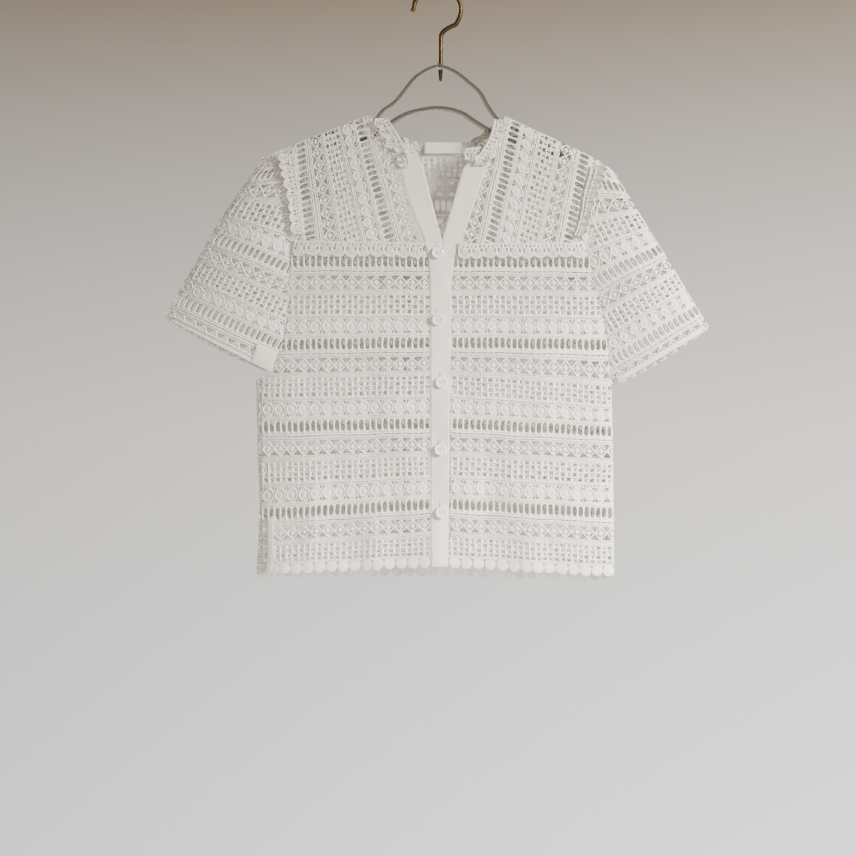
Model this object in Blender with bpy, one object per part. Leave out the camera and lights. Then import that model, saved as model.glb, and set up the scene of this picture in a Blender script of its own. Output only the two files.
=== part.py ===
"""A short-sleeved cropped jacket of guipure lace on a clear hanger with a brass hook.

Sizes are in millimetres and become metres in the meshes. X runs to the right as the front is seen, -Y is the
front and Z is up. The origin is the top of the hook's inside, where the hook hangs on a rail. Right and left
name the wearer's sides, so right is at -X. "Out" is a distance from the garment's middle towards a side.
"""
import math

import bmesh
import bpy
from mathutils import Vector

# Driving sizes
MM = 0.001
SEAM = 0.3
LACE_WALL = 1.6
TAPE_WALL = 1.4
TRIM_WALL = 1.2
TRIM_LIFT = 0.6
MIDDLE_X = 3.6
SIDE_SIGN = {"right": -1, "left": 1}
FACE_SIGN = {"front": -1, "back": 1}

# The lace: its ladder rows have the largest gaps, and one gap of each repeat is cut through
GAP_WIDTH = 5.0
FRONT_GAPS = 10
SLEEVE_GAPS = 6
YOKE_GAPS = 8

# Shoulder lines, straight from the neck to the sleeve head
SHOULDER = {
    "right": {"neck_out": 84.0, "neck_z": -151.7, "end_out": 178.0, "end_z": -188.3},
    "left": {"neck_out": 76.8, "neck_z": -152.9, "end_out": 184.8, "end_z": -203.3},
}

# Outer edge of the body from the shoulder down: the armhole to the underarm, then the side seam.
# columns: height, distance out to the edge, distance out at which front and back would meet
EDGE = {
    "right": [
        (-188.3, 178.0, 222.0),
        (-373.7, 180.0, 222.0),
        (-420.5, 187.0, 213.0),
        (-433.7, 191.4, 207.0),
        (-461.3, 200.4, 206.0),
        (-469.7, 220.8, 220.8),
        (-569.3, 218.4, 218.4),
        (-625.7, 216.0, 216.0),
        (-710.0, 221.0, 221.0),
    ],
    "left": [
        (-203.3, 184.8, 222.0),
        (-316.1, 175.2, 220.0),
        (-362.9, 187.8, 218.0),
        (-420.5, 199.2, 213.0),
        (-433.7, 201.0, 210.0),
        (-478.1, 205.2, 209.6),
        (-485.3, 205.8, 205.8),
        (-580.1, 207.6, 207.6),
        (-672.5, 208.8, 208.8),
        (-710.0, 208.8, 208.8),
    ],
}

# Rows of the lower fronts. columns: height at the placket, height at the outer edge, whether a ladder starts here
FRONT_ROWS = {
    "right": [
        (-316.1, -313.7, False),
        (-322.7, -321.5, True),
        (-335.3, -334.1, False),
        (-373.7, -373.7, False),
        (-418.7, -420.5, True),
        (-431.3, -433.7, False),
        (-458.9, -461.3, False),
        (-466.1, -469.7, False),
        (-514.1, -518.9, True),
        (-526.7, -531.5, False),
        (-608.9, -622.1, True),
        (-621.5, -635.3, False),
        (-677.3, -687.0, False),
    ],
    "left": [
        (-317.3, -316.1, False),
        (-322.7, -323.3, True),
        (-335.3, -335.9, False),
        (-361.7, -362.9, False),
        (-418.7, -420.5, True),
        (-431.3, -433.7, False),
        (-464.9, -478.1, False),
        (-471.5, -485.3, False),
        (-514.1, -523.7, True),
        (-526.7, -536.3, False),
        (-610.1, -622.1, True),
        (-622.7, -634.7, False),
        (-677.3, -689.3, False),
    ],
}

# Rows of the back below its neck and shoulders. columns: height at the middle, at the right edge, at the left edge,
# whether a ladder starts here
BACK_ROWS = [
    (-250.1, -250.1, -250.1, True),
    (-262.7, -262.7, -262.7, False),
    (-316.1, -316.1, -316.1, False),
    (-350.3, -349.7, -350.3, True),
    (-362.9, -362.3, -362.9, False),
    (-374.9, -373.7, -374.9, False),
    (-418.7, -420.5, -420.5, False),
    (-431.9, -433.7, -433.7, False),
    (-443.3, -444.5, -446.9, True),
    (-455.9, -457.1, -459.5, False),
    (-461.3, -461.3, -478.1, False),
    (-469.7, -469.7, -485.3, False),
    (-539.3, -542.9, -545.3, True),
    (-551.9, -555.5, -557.9, False),
    (-637.7, -643.7, -643.7, True),
    (-650.3, -656.3, -656.3, False),
    (-690.5, -691.7, -695.3, False),
]
BACK_NECK_DROP = 41.0
BACK_NECK_BOX = 2.6
NECK_SNAP = 4.5

# How far the cloth stands from the hanger's plane
ROD_CLEAR = 5.4
ROD_BEND = 5.0
FULL_DEPTH = {"front": 17.0, "back": 14.0}
SPREAD = 70.0
EDGE_POWER = 4
# Drape folds. columns: length across, place across, lean with height, size at the hem
FOLDS = {
    "front": [(150.0, 30.0, 0.10, 1.6), (87.0, 12.0, -0.16, 1.0)],
    "back": [(132.0, -20.0, 0.08, 1.8), (94.0, 40.0, -0.12, 1.2)],
}
FOLD_TOP = -330.0
HEM_Z = -700.0

# Sleeves. The fold runs along the sleeve's top, and the rows run parallel to the cuff.
# columns: distance out, height
SLEEVE_FOLD = {
    "right": [
        (210.0, -200.3),
        (226.8, -225.5),
        (244.8, -248.9),
        (262.8, -276.5),
        (279.6, -304.1),
        (309.0, -356.9),
        (331.2, -394.1),
    ],
    "left": [
        (207.6, -218.9),
        (228.7, -253.7),
        (248.4, -285.5),
        (270.0, -319.7),
        (295.2, -361.7),
        (323.4, -407.3),
    ],
}
# columns: height at the armhole, distance from the cuff along the fold, whether a ladder starts here
SLEEVE_ROWS = {
    "right": [
        (-188.3, None, False),
        (-235.0, 181.0, False),
        (-326.9, 121.0, True),
        (-341.0, 106.0, False),
        (-373.7, 79.0, False),
        (-420.5, 36.0, True),
        (-433.7, 22.0, False),
        (-461.3, 0.0, False),
    ],
    "left": [
        (-203.3, None, False),
        (-255.0, 181.0, False),
        (-316.1, 141.0, False),
        (-349.0, 117.0, True),
        (-362.9, 103.0, False),
        (-420.5, 53.0, False),
        (-433.7, 40.0, True),
        (-450.0, 26.0, False),
        (-478.1, 0.0, False),
    ],
}
SLEEVE_DEPTH = {"front": 13.0, "back": 13.0}
CUFF_TAPE = 7.0
CUFF_DROP = {"front": 0.0, "back": 6.0}

# Yokes. columns: distance out at the shoulder, distance out at the lower seam, whether a ladder starts here
YOKE_COLUMNS = {
    "right": [
        (173.0, 160.0, True),
        (166.0, 148.0, False),
        (133.0, 106.0, False),
        (103.0, 63.0, True),
        (94.0, 51.0, False),
    ],
    "left": [
        (179.0, 157.0, True),
        (171.0, 146.0, False),
        (130.0, 106.0, False),
        (97.0, 63.0, True),
        (87.0, 51.0, False),
    ],
}
# Front neck edge from the shoulder down, along the frill and then the band. columns: distance out, height
NECK_EDGE = {
    "right": [(84.0, -151.7), (66.0, -176.0), (52.0, -198.0), (40.0, -253.0), (20.0, -301.0), (13.8, -326.0)],
    "left": [(76.8, -152.9), (68.0, -176.0), (60.0, -204.0), (37.2, -272.0), (24.0, -308.0), (16.8, -326.0)],
}
# Inner edge of the bands down to the point of the V. columns: distance out, height
BAND_INNER = {
    "right": [(30.0, -193.0), (20.0, -218.0), (-1.9, -302.9), (-1.9, -326.0)],
    "left": [(38.0, -193.0), (26.4, -220.0), (2.2, -302.9), (2.2, -326.0)],
}
BAND_TOP = -196.0
# Placket. columns: height, distance out of the right edge, distance out of the left edge
PLACKET = [
    (-326.0, 13.8, 16.8),
    (-361.7, 12.0, 13.2),
    (-692.0, 10.8, 9.4),
]
PLACKET_WALL = 2.2
STAND_WIDTH = 22.0

# Edging
HEM_SCALLOPS = {"right": 15, "left": 14, "back": 29}
SCALLOP_STEPS = 3
HEM_DEPTH = 15.6
SCALLOP_DROP = 4.2
YOKE_TRIM_SCALLOPS = 10

# Label, buttons, hanger and hook
LABEL = {"right_out": 18.5, "left_out": 25.2, "top": -183.0, "bottom": -196.7, "wall": 0.9}
BUTTON_RADIUS = 6.9
BUTTON_THICK = 3.0
# columns: x, height, tilt in degrees
BUTTONS = [(0.4, -318.5, 0), (0.6, -397.7, 14), (4.8, -472.7, 0), (3.6, -552.5, 0), (4.8, -627.4, 0)]
ROD_RADIUS = 2.9
ROD_DROP = 7.2
BAR_RADIUS = 3.6
SHOULDER_SLANT = 0.88
HOOK_WIRE = 2.5
HOOK_RADIUS = 28.2
HOOK_STEM_X = 4.2
HANGER_TOP = -93.5
# Bell of the hanger's rod between the shoulders. columns: x, height
BELL = [
    (-64.5, -146.5),
    (-49.0, -134.9),
    (-27.6, -108.5),
    (-10.8, -97.1),
    (3.6, -93.5),
    (21.6, -100.1),
    (37.2, -112.1),
    (51.6, -125.3),
    (62.0, -143.5),
]


def finish(name, colour, roughness, metallic=0.0, transmission=0.0):
    material = bpy.data.materials.new(name)
    material.use_nodes = True
    shader = material.node_tree.nodes["Principled BSDF"]
    red, green, blue = (int(colour[i:i + 2], 16) / 255 for i in (0, 2, 4))
    linear = [c / 12.92 if c <= 0.04045 else ((c + 0.055) / 1.055) ** 2.4 for c in (red, green, blue)]
    shader.inputs["Base Color"].default_value = (*linear, 1.0)
    shader.inputs["Roughness"].default_value = roughness
    shader.inputs["Metallic"].default_value = metallic
    shader.inputs["Transmission Weight"].default_value = transmission
    return material


def add_object(name, bm, material, smooth_angle=None):
    bmesh.ops.scale(bm, vec=(MM, MM, MM), verts=bm.verts)
    bmesh.ops.recalc_face_normals(bm, faces=bm.faces)
    mesh = bpy.data.meshes.new(name)
    bm.to_mesh(mesh)
    bm.free()
    mesh.materials.append(material)
    if smooth_angle is not None:
        mesh.shade_smooth()
        mesh.set_sharp_from_angle(angle=smooth_angle)
    piece = bpy.data.objects.new(name, mesh)
    bpy.context.scene.collection.objects.link(piece)
    return piece


def between(low, high, share):
    return low + (high - low) * share


def table_at(rows, key, column, key_column=0):
    """Value of a column where the key column passes the key, along straight lines between rows."""
    for first, second in zip(rows, rows[1:]):
        top, bottom = first[key_column], second[key_column]
        if top >= key >= bottom:
            share = (top - key) / (top - bottom) if top != bottom else 0.0
            return between(first[column], second[column], share)
    return rows[0][column] if key > rows[0][key_column] else rows[-1][column]


def along(points, distance):
    """Point at a distance along a polyline."""
    for first, second in zip(points, points[1:]):
        step = math.dist(first, second)
        if distance <= step:
            share = distance / step
            return between(first[0], second[0], share), between(first[1], second[1], share)
        distance -= step
    return points[-1]


def length_of(points):
    return sum(math.dist(a, b) for a, b in zip(points, points[1:]))


def shoulder_z(side, out):
    line = SHOULDER[side]
    fall = (line["neck_z"] - line["end_z"]) / (line["end_out"] - line["neck_out"])
    return line["neck_z"] - (out - line["neck_out"]) * fall


def shoulder_up(side):
    """Direction square to the shoulder line, upwards."""
    line = SHOULDER[side]
    run, fall = line["end_out"] - line["neck_out"], line["neck_z"] - line["end_z"]
    return Vector((SIDE_SIGN[side] * fall, 0.0, run)).normalized()


def side_of(x):
    return "right" if x < MIDDLE_X else "left"


def opening_edge(side, z):
    """Distance out of the front opening's edge: the neck and bands above, the placket below."""
    if z >= PLACKET[0][0]:
        return table_at([(height, out) for out, height in NECK_EDGE[side]], z, 1)
    return table_at(PLACKET, z, 1 if side == "right" else 2)


def stand_off(x, z, face):
    """Distance of the cloth's middle from the hanger's plane, at a place on the body."""
    side = side_of(x)
    out = abs(x - MIDDLE_X)
    below = max(shoulder_z(side, out) - z, 0.0)
    bend = min(below / ROD_BEND, 1.0)
    over_rod = ROD_CLEAR * math.sqrt(bend * (2.0 - bend))
    swell = (FULL_DEPTH[face] - ROD_CLEAR) * (1.0 - math.exp(-max(below - ROD_BEND, 0.0) / SPREAD))
    hang = min(max((FOLD_TOP - z) / (FOLD_TOP - HEM_Z), 0.0), 1.2)
    drape = sum(
        size * hang * math.sin(2.0 * math.pi * (x - place + lean * z) / length)
        for length, place, lean, size in FOLDS[face]
    )
    fold = table_at(EDGE[side], z, 2)
    taper = math.sqrt(max(1.0 - (out / fold) ** EDGE_POWER, 0.0))
    return max((over_rod + swell + drape) * taper, SEAM / 2)


def on_body(x, z, face, lift=0.0):
    """Point on the body's cloth, moved out by lift."""
    return Vector((x, FACE_SIGN[face] * (stand_off(x, z, face) + lift), z))


def gap_columns(count, width, gap):
    """Shares across a row, with a gap cell in the middle of each repeat. Odd cells are gaps."""
    shares = [0.0]
    for k in range(count):
        middle = (k + 0.5) / count
        shares += [middle - gap / width / 2, middle + gap / width / 2]
    return shares + [1.0]


def wall_directions(points, face, fixed):
    """Unit directions across the wall: square to the grid, or as fixed says along a seam."""
    rows, columns = len(points), len(points[0])
    outward = Vector((0.0, FACE_SIGN[face], 0.0))
    directions = []
    for i in range(rows):
        line = []
        for j in range(columns):
            across = points[i][min(j + 1, columns - 1)] - points[i][max(j - 1, 0)]
            down = points[min(i + 1, rows - 1)][j] - points[max(i - 1, 0)][j]
            normal = across.cross(down).normalized()
            if normal.dot(outward) < 0:
                normal = -normal
            line.append(fixed.get((i, j), normal))
        directions.append(line)
    return directions


def seam_lines(rows, columns, face, top=None, bottom=None, first=None, last=None):
    """Fixed directions along the four edges of a grid. An edge left out is square to the hanger's plane."""
    flat = Vector((0.0, FACE_SIGN[face], 0.0))
    fixed = {}
    for j in range(columns):
        fixed[(0, j)] = top or flat
        fixed[(rows - 1, j)] = bottom or flat
    for i in range(rows):
        if i or not top:
            fixed[(i, 0)] = first or flat
            fixed[(i, columns - 1)] = last or flat
    return fixed


def wall(name, points, directions, thickness, material, gaps=()):
    """Closed wall round a grid of points, with the listed cells cut through."""
    rows, columns = len(points), len(points[0])
    bm = bmesh.new()
    half = thickness / 2
    skins = []
    for sign in (1, -1):
        skins.append(
            [
                [bm.verts.new(points[i][j] + directions[i][j] * sign * half) for j in range(columns)]
                for i in range(rows)
            ]
        )
    outer, inner = skins
    open_cells = set(gaps)

    def solid(i, j):
        return 0 <= i < rows - 1 and 0 <= j < columns - 1 and (i, j) not in open_cells

    def side_wall(a, b):
        bm.faces.new([outer[a[0]][a[1]], outer[b[0]][b[1]], inner[b[0]][b[1]], inner[a[0]][a[1]]])

    for i in range(rows - 1):
        for j in range(columns - 1):
            if not solid(i, j):
                continue
            corners = [(i, j), (i, j + 1), (i + 1, j + 1), (i + 1, j)]
            bm.faces.new([outer[r][c] for r, c in corners])
            bm.faces.new([inner[r][c] for r, c in (corners[0], corners[3], corners[2], corners[1])])
            neighbours = [(i - 1, j), (i, j + 1), (i + 1, j), (i, j - 1)]
            for k, cell in enumerate(neighbours):
                if not solid(*cell):
                    side_wall(corners[(k + 1) % 4], corners[k])
    return add_object(name, bm, material)


def ladder_cells(rows, columns):
    """Odd cells of each row that starts a ladder."""
    return [(i, j) for i, row in enumerate(rows[:-1]) if row[-1] for j in range(1, columns - 1, 2)]


def lower_front(side, material):
    sign = SIDE_SIGN[side]
    shares = gap_columns(FRONT_GAPS, 200.0, GAP_WIDTH)
    grid = []
    for inner_z, outer_z, _ in FRONT_ROWS[side]:
        inner_out = opening_edge(side, inner_z) + SEAM
        outer_out = table_at(EDGE[side], outer_z, 1)
        on_side_seam = outer_out >= table_at(EDGE[side], outer_z, 2) - 0.01
        if not on_side_seam:
            outer_out -= SEAM / 2
        line = []
        for share in shares:
            x = MIDDLE_X + sign * between(inner_out, outer_out, share)
            line.append(on_body(x, between(inner_z, outer_z, share), "front"))
        line[-1].y = -SEAM / 2 if on_side_seam else line[-1].y
        grid.append(line)
    fixed = seam_lines(len(grid), len(shares), "front")
    for i, (_, outer_z, _) in enumerate(FRONT_ROWS[side]):
        if table_at(EDGE[side], outer_z, 1) >= table_at(EDGE[side], outer_z, 2) - 0.01:
            fixed[(i, len(shares) - 1)] = Vector((sign, 0.0, 0.0))
    cells = ladder_cells(FRONT_ROWS[side], len(shares))
    wall(f"front_{side}", grid, wall_directions(grid, "front", fixed), LACE_WALL, material, cells)


def neck_drop(out, half_width):
    """How far the back neckline lies under the neck points, as a flat-bottomed scoop."""
    return BACK_NECK_DROP * (1.0 - min(abs(out) / half_width, 1.0) ** BACK_NECK_BOX)


def back_top(x):
    """Height of the back's top edge: the neckline between the neck points and the shoulders beyond."""
    side = side_of(x)
    out = abs(x - MIDDLE_X)
    neck = SHOULDER[side]["neck_out"]
    if out >= neck:
        return shoulder_z(side, out)
    return SHOULDER[side]["neck_z"] - neck_drop(out, neck)


def back_shares():
    """Columns of one half of the back, and of its whole width from -1 to 1."""
    half = gap_columns(FRONT_GAPS, 205.0, GAP_WIDTH)
    return half, [-share for share in reversed(half)] + half[1:]


def back_top_x(share):
    """Place of a column on the back's top edge. The column nearest the neck point lies on it."""
    side = "right" if share < 0 else "left"
    out = abs(share) * (SHOULDER[side]["end_out"] - SEAM / 2)
    neck = SHOULDER[side]["neck_out"]
    if abs(out - neck) < NECK_SNAP:
        out = neck
    return MIDDLE_X + SIDE_SIGN[side] * out


def back_panel(material):
    half, shares = back_shares()
    columns = len(shares)
    top, second = [], []
    for share in shares:
        side = "right" if share < 0 else "left"
        x = back_top_x(share)
        out = abs(x - MIDDLE_X)
        z = back_top(x)
        on_shoulder = out >= SHOULDER[side]["neck_out"]
        upper = on_body(x, z, "back")
        if on_shoulder:
            upper.y = SEAM / 2
        top.append(upper)
        second.append(on_body(x, z - ROD_BEND, "back"))
    grid = [top, second]
    for middle_z, right_z, left_z, _ in BACK_ROWS:
        line = []
        for share in shares:
            side = "right" if share < 0 else "left"
            edge_z = right_z if share < 0 else left_z
            edge_out = table_at(EDGE[side], edge_z, 1)
            meets = edge_out >= table_at(EDGE[side], edge_z, 2) - 0.01
            edge_out -= 0.0 if meets else SEAM / 2
            x = MIDDLE_X + SIDE_SIGN[side] * abs(share) * edge_out
            point = on_body(x, between(middle_z, edge_z, abs(share)), "back")
            if abs(share) == 1.0 and meets:
                point.y = SEAM / 2
            line.append(point)
        grid.append(line)
    fixed = seam_lines(len(grid), columns, "back")
    for j, share in enumerate(shares):
        side = "right" if share < 0 else "left"
        if abs(back_top_x(share) - MIDDLE_X) >= SHOULDER[side]["neck_out"]:
            fixed[(0, j)] = shoulder_up(side)
    fixed[(0, 0)] = fixed[(0, columns - 1)] = Vector((0.0, 0.0, 1.0))
    for i, (_, right_z, left_z, _) in enumerate(BACK_ROWS):
        for j, side, edge_z in ((0, "right", right_z), (columns - 1, "left", left_z)):
            if table_at(EDGE[side], edge_z, 1) >= table_at(EDGE[side], edge_z, 2) - 0.01:
                fixed[(i + 2, j)] = Vector((SIDE_SIGN[side], 0.0, 0.0))
    rows = [(False,), (False,)] + BACK_ROWS
    middle = len(half) - 1
    cells = [(i, j) for i, row in enumerate(rows[:-1]) if row[-1] for j in range(columns - 1)
             if (j - middle if j >= middle else middle - 1 - j) % 2 == 1]
    wall("back", grid, wall_directions(grid, "back", fixed), LACE_WALL, material, cells)


def yoke(side, material):
    sign = SIDE_SIGN[side]
    shoulder_line = SHOULDER[side]
    seam_inner, seam_outer, _ = FRONT_ROWS[side][0]
    lines = [(shoulder_line["end_out"] - SEAM / 2, table_at(EDGE[side], seam_outer, 1) - SEAM / 2, False)]
    lines += YOKE_COLUMNS[side]
    rows = [0.0, 0.035] + [0.06 + 0.94 * s for s in gap_columns(YOKE_GAPS, 112.0, GAP_WIDTH)[1:]]
    grid = []
    for i, share in enumerate(rows):
        line = []
        for top_out, bottom_out, _ in lines:
            top = shoulder_z(side, top_out)
            bottom = between(seam_inner, seam_outer, bottom_out / lines[0][1]) + SEAM
            out = between(top_out, bottom_out, share)
            z = top - ROD_BEND if i == 1 else between(top, bottom, share)
            line.append((out, z))
        neck_top = NECK_EDGE[side][0][1]
        neck_bottom = seam_inner + SEAM
        z = neck_top - ROD_BEND if i == 1 else between(neck_top, neck_bottom, share)
        out = opening_edge(side, z) + SEAM / 2
        line.append((out, z))
        grid.append([on_body(MIDDLE_X + sign * out, z, "front") for out, z in line])
    columns = len(grid[0])
    for point in grid[0]:
        point.y = -SEAM / 2
    for i in range(1, len(grid)):
        z = grid[i][0].z
        grid[i][0].x = MIDDLE_X + sign * (table_at(EDGE[side], z, 1) - SEAM / 2)
    fixed = seam_lines(len(grid), columns, "front", top=shoulder_up(side))
    fixed[(0, 0)] = Vector((0.0, 0.0, 1.0))
    cells = [
        (i, j + 1)
        for j, (_, _, ladder) in enumerate(YOKE_COLUMNS[side])
        if ladder
        for i in range(2, len(grid) - 2, 2)
    ]
    wall(f"yoke_{side}", grid, wall_directions(grid, "front", fixed), LACE_WALL, material, cells)


def sleeve_grid(side, face, shares, rows, lift=0.0):
    """Points on a sleeve half. A row is a height at the armhole and a distance from the cuff along the fold."""
    sign = SIDE_SIGN[side]
    fold = SLEEVE_FOLD[side]
    fold_length = length_of(fold)
    grid = []
    for armhole_z, from_cuff, _ in rows:
        fold_out, fold_z = along(fold, 0.0 if from_cuff is None else fold_length - from_cuff)
        arm_out = table_at(EDGE[side], armhole_z, 1) + SEAM / 2
        top_row = from_cuff is None
        seam_depth = stand_off(MIDDLE_X + sign * arm_out, armhole_z, face)
        line = []
        for share in shares:
            round_off = math.sqrt(max(1.0 - share ** 3, 0.0))
            belly = 4.0 * share * (1.0 - share) * SLEEVE_DEPTH[face] * min(1.0, (fold[0][1] - fold_z) / 120.0)
            depth = SEAM / 2 if top_row else max(seam_depth * round_off + 0.5 * belly, SEAM / 2)
            drop = CUFF_DROP[face] * max(0.0, 1.0 - (from_cuff if from_cuff is not None else 999.0) / 30.0)
            drop *= 4.0 * share * (1.0 - share)
            x = MIDDLE_X + sign * between(arm_out, fold_out, share)
            z = between(armhole_z, fold_z, share) - drop
            line.append(Vector((x, FACE_SIGN[face] * (depth + lift), z)))
        if lift == 0.0:
            line[-1].y = FACE_SIGN[face] * SEAM / 2
        grid.append(line)
    return grid


def fold_out_direction(side):
    first, last = SLEEVE_FOLD[side][0], SLEEVE_FOLD[side][-1]
    return Vector((SIDE_SIGN[side] * (first[1] - last[1]), 0.0, last[0] - first[0])).normalized()


def sleeve(side, face, material):
    shares = gap_columns(SLEEVE_GAPS, 118.0, GAP_WIDTH + 0.6)
    rows = SLEEVE_ROWS[side]
    grid = sleeve_grid(side, face, shares, rows)
    up = Vector((0.0, 0.0, 1.0))
    fixed = seam_lines(len(grid), len(shares), face, top=up, last=fold_out_direction(side))
    cells = ladder_cells(rows, len(shares))
    wall(f"sleeve_{side}_{face}", grid, wall_directions(grid, face, fixed), LACE_WALL, material, cells)


def cuff_tape(side, face, material):
    """Narrow binding on the outside of the cuff's edge, made from the sleeve's points and moved out."""
    shares = [0.06, 0.2, 0.4, 0.6, 0.8, 0.93]
    last_z, _, _ = SLEEVE_ROWS[side][-1]
    rows = [(last_z + CUFF_TAPE, CUFF_TAPE, False), (last_z, 0.0, False)]
    lift = (LACE_WALL + TAPE_WALL) / 2 + 2 * SEAM
    grid = sleeve_grid(side, face, shares, rows, lift)
    fixed = seam_lines(2, len(shares), face)
    wall(f"cuff_{side}_{face}", grid, wall_directions(grid, face, fixed), TAPE_WALL, material)


def band(side, material):
    sign = SIDE_SIGN[side]
    inner = [(height, out) for out, height in BAND_INNER[side]]
    top, bottom = BAND_TOP, PLACKET[0][0] + SEAM
    bends = [h for _, h in NECK_EDGE[side] + BAND_INNER[side] if bottom < h < top]
    heights = sorted({top, bottom, *bends}, reverse=True)
    grid = []
    for z in heights:
        outer_out = opening_edge(side, z) - SEAM / 2
        inner_out = table_at(inner, z, 1)
        line = [between(outer_out, inner_out, share) for share in (0.0, 0.5, 1.0)]
        grid.append([on_body(MIDDLE_X + sign * out, z, "front") for out in line])
    fixed = seam_lines(len(grid), 3, "front")
    wall(f"band_{side}", grid, wall_directions(grid, "front", fixed), PLACKET_WALL, material)


def placket(material):
    heights = [row[0] for row in PLACKET] + [-440.0, -480.0, -520.0, -600.0, -645.0]
    heights = sorted(set(heights), reverse=True)
    grid = []
    for z in heights:
        left_x = MIDDLE_X - table_at(PLACKET, z, 1)
        right_x = MIDDLE_X + table_at(PLACKET, z, 2)
        grid.append([on_body(between(left_x, right_x, share), z, "front") for share in (0.0, 0.5, 1.0)])
    fixed = seam_lines(len(grid), 3, "front")
    wall("placket", grid, wall_directions(grid, "front", fixed), PLACKET_WALL, material)
    behind = -(PLACKET_WALL + TAPE_WALL) / 2 - 2 * SEAM
    edges = (MIDDLE_X - STAND_WIDTH / 2, MIDDLE_X, MIDDLE_X + STAND_WIDTH / 2)
    stand = [[on_body(x, z, "front", behind) for x in edges] for z in heights]
    fixed = seam_lines(len(stand), 3, "front")
    wall("button_stand", stand, wall_directions(stand, "front", fixed), TAPE_WALL, material)


def scallop(share, count):
    """Drop of a scalloped edge at a share of its length, 1 at the middle of each scallop."""
    turn = (share * count) % 1.0
    return math.sin(math.pi * turn)


def hem_edging(name, face, ends, count, material):
    """Strip under a panel's lower edge. ends gives x and height at each end of the edge and at its middle."""
    steps = count * SCALLOP_STEPS
    grid = [[], []]
    for k in range(steps + 1):
        share = k / steps
        x, top = ends(share)
        low = top - HEM_DEPTH + SCALLOP_DROP * (1.0 - scallop(share, count))
        for line, z in zip(grid, (top - SEAM, low)):
            line.append(on_body(x, z, face))
    columns = len(grid[0])
    for j in (0, columns - 1):
        for line in grid:
            if stand_off(line[j].x, line[j].z, face) < 1.0:
                line[j].y = FACE_SIGN[face] * SEAM / 2
    fixed = seam_lines(2, columns, face)
    for i in range(2):
        for j in (0, columns - 1):
            if abs(grid[i][j].y) < 1.0:
                fixed[(i, j)] = Vector((SIDE_SIGN[side_of(grid[i][j].x)], 0.0, 0.0))
    wall(name, grid, wall_directions(grid, face, fixed), LACE_WALL, material)


def front_hem_line(side):
    inner_z, outer_z, _ = FRONT_ROWS[side][-1]
    inner_out = opening_edge(side, inner_z) + SEAM
    outer_out = table_at(EDGE[side], outer_z, 1)

    def ends(share):
        return MIDDLE_X + SIDE_SIGN[side] * between(inner_out, outer_out, share), between(inner_z, outer_z, share)

    return ends


def back_hem_line(share):
    middle_z, right_z, left_z, _ = BACK_ROWS[-1]
    across = 2.0 * share - 1.0
    side = "right" if across < 0 else "left"
    edge_z = right_z if across < 0 else left_z
    out = abs(across) * table_at(EDGE[side], edge_z, 1)
    return MIDDLE_X + SIDE_SIGN[side] * out, between(middle_z, edge_z, abs(across))


def yoke_trim(side, material):
    """Edging over the seam under the yoke, scalloped below."""
    sign = SIDE_SIGN[side]
    inner_z, outer_z, _ = FRONT_ROWS[side][0]
    inner_out, outer_out = 21.0, table_at(EDGE[side], outer_z, 1) - 4.0
    steps = YOKE_TRIM_SCALLOPS * SCALLOP_STEPS
    lift = (LACE_WALL + TRIM_WALL) / 2 + TRIM_LIFT
    grid = [[], []]
    for k in range(steps + 1):
        share = k / steps
        x = MIDDLE_X + sign * between(inner_out, outer_out, share)
        seam = between(inner_z, outer_z, share)
        low = seam - 5.0 - SCALLOP_DROP * scallop(share, YOKE_TRIM_SCALLOPS)
        grid[0].append(on_body(x, seam + 10.0, "front", lift))
        grid[1].append(on_body(x, low, "front", lift + 0.8))
    fixed = seam_lines(2, steps + 1, "front")
    wall(f"yoke_trim_{side}", grid, wall_directions(grid, "front", fixed), TRIM_WALL, material)


def frill(name, side, route, waves, size, steps, material):
    """Gathered edging. route rows: outer out, inner out, height, lift at the outer edge, lift at the inner edge."""
    sign = SIDE_SIGN[side]
    grid = []
    for k in range(steps + 1):
        share = k / steps * (len(route) - 1)
        row = min(int(share), len(route) - 2)
        part = share - row
        outer, inner, z, outer_lift, inner_lift = (between(a, b, part) for a, b in zip(route[row], route[row + 1]))
        ripple = size * math.sin(2.0 * math.pi * waves * k / steps)
        lifts = (outer_lift + ripple, between(outer_lift, inner_lift, 0.5) + ripple / 2, inner_lift)
        outs = (outer, between(outer, inner, 0.5), inner)
        base = stand_off(MIDDLE_X + sign * inner, z, "front")
        grid.append([Vector((MIDDLE_X + sign * out, -(base + lift), z)) for out, lift in zip(outs, lifts)])
    fixed = seam_lines(len(grid), 3, "front")
    wall(name, grid, wall_directions(grid, "front", fixed), TRIM_WALL, material)


# columns: outer out, inner out, height, lift at the outer edge, lift at the inner edge
SHOULDER_FRILLS = {
    "right": [
        (196.0, 172.0, -200.0, 7.0, 2.1),
        (190.0, 171.0, -226.0, 6.5, 2.1),
        (181.0, 168.0, -262.0, 6.0, 2.1),
        (178.0, 163.0, -296.0, 5.5, 2.1),
    ],
    "left": [
        (202.0, 180.0, -214.0, 8.5, 2.1),
        (194.0, 173.0, -240.0, 7.5, 2.1),
        (181.0, 168.0, -272.0, 6.5, 2.1),
        (175.0, 160.0, -298.0, 5.5, 2.1),
    ],
}
NECK_FRILLS = {
    "right": [
        (82.0, 62.0, -158.0, 5.0, 6.0),
        (72.0, 50.0, -178.0, 4.0, 7.0),
        (58.0, 40.0, -200.0, 3.0, 6.0),
        (50.0, 36.0, -216.0, 2.6, 4.0),
    ],
    "left": [
        (80.0, 64.0, -160.0, 6.0, 7.0),
        (78.0, 60.0, -180.0, 4.0, 8.0),
        (66.0, 46.0, -202.0, 3.0, 7.0),
        (56.0, 40.0, -214.0, 2.6, 4.0),
    ],
}


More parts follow.
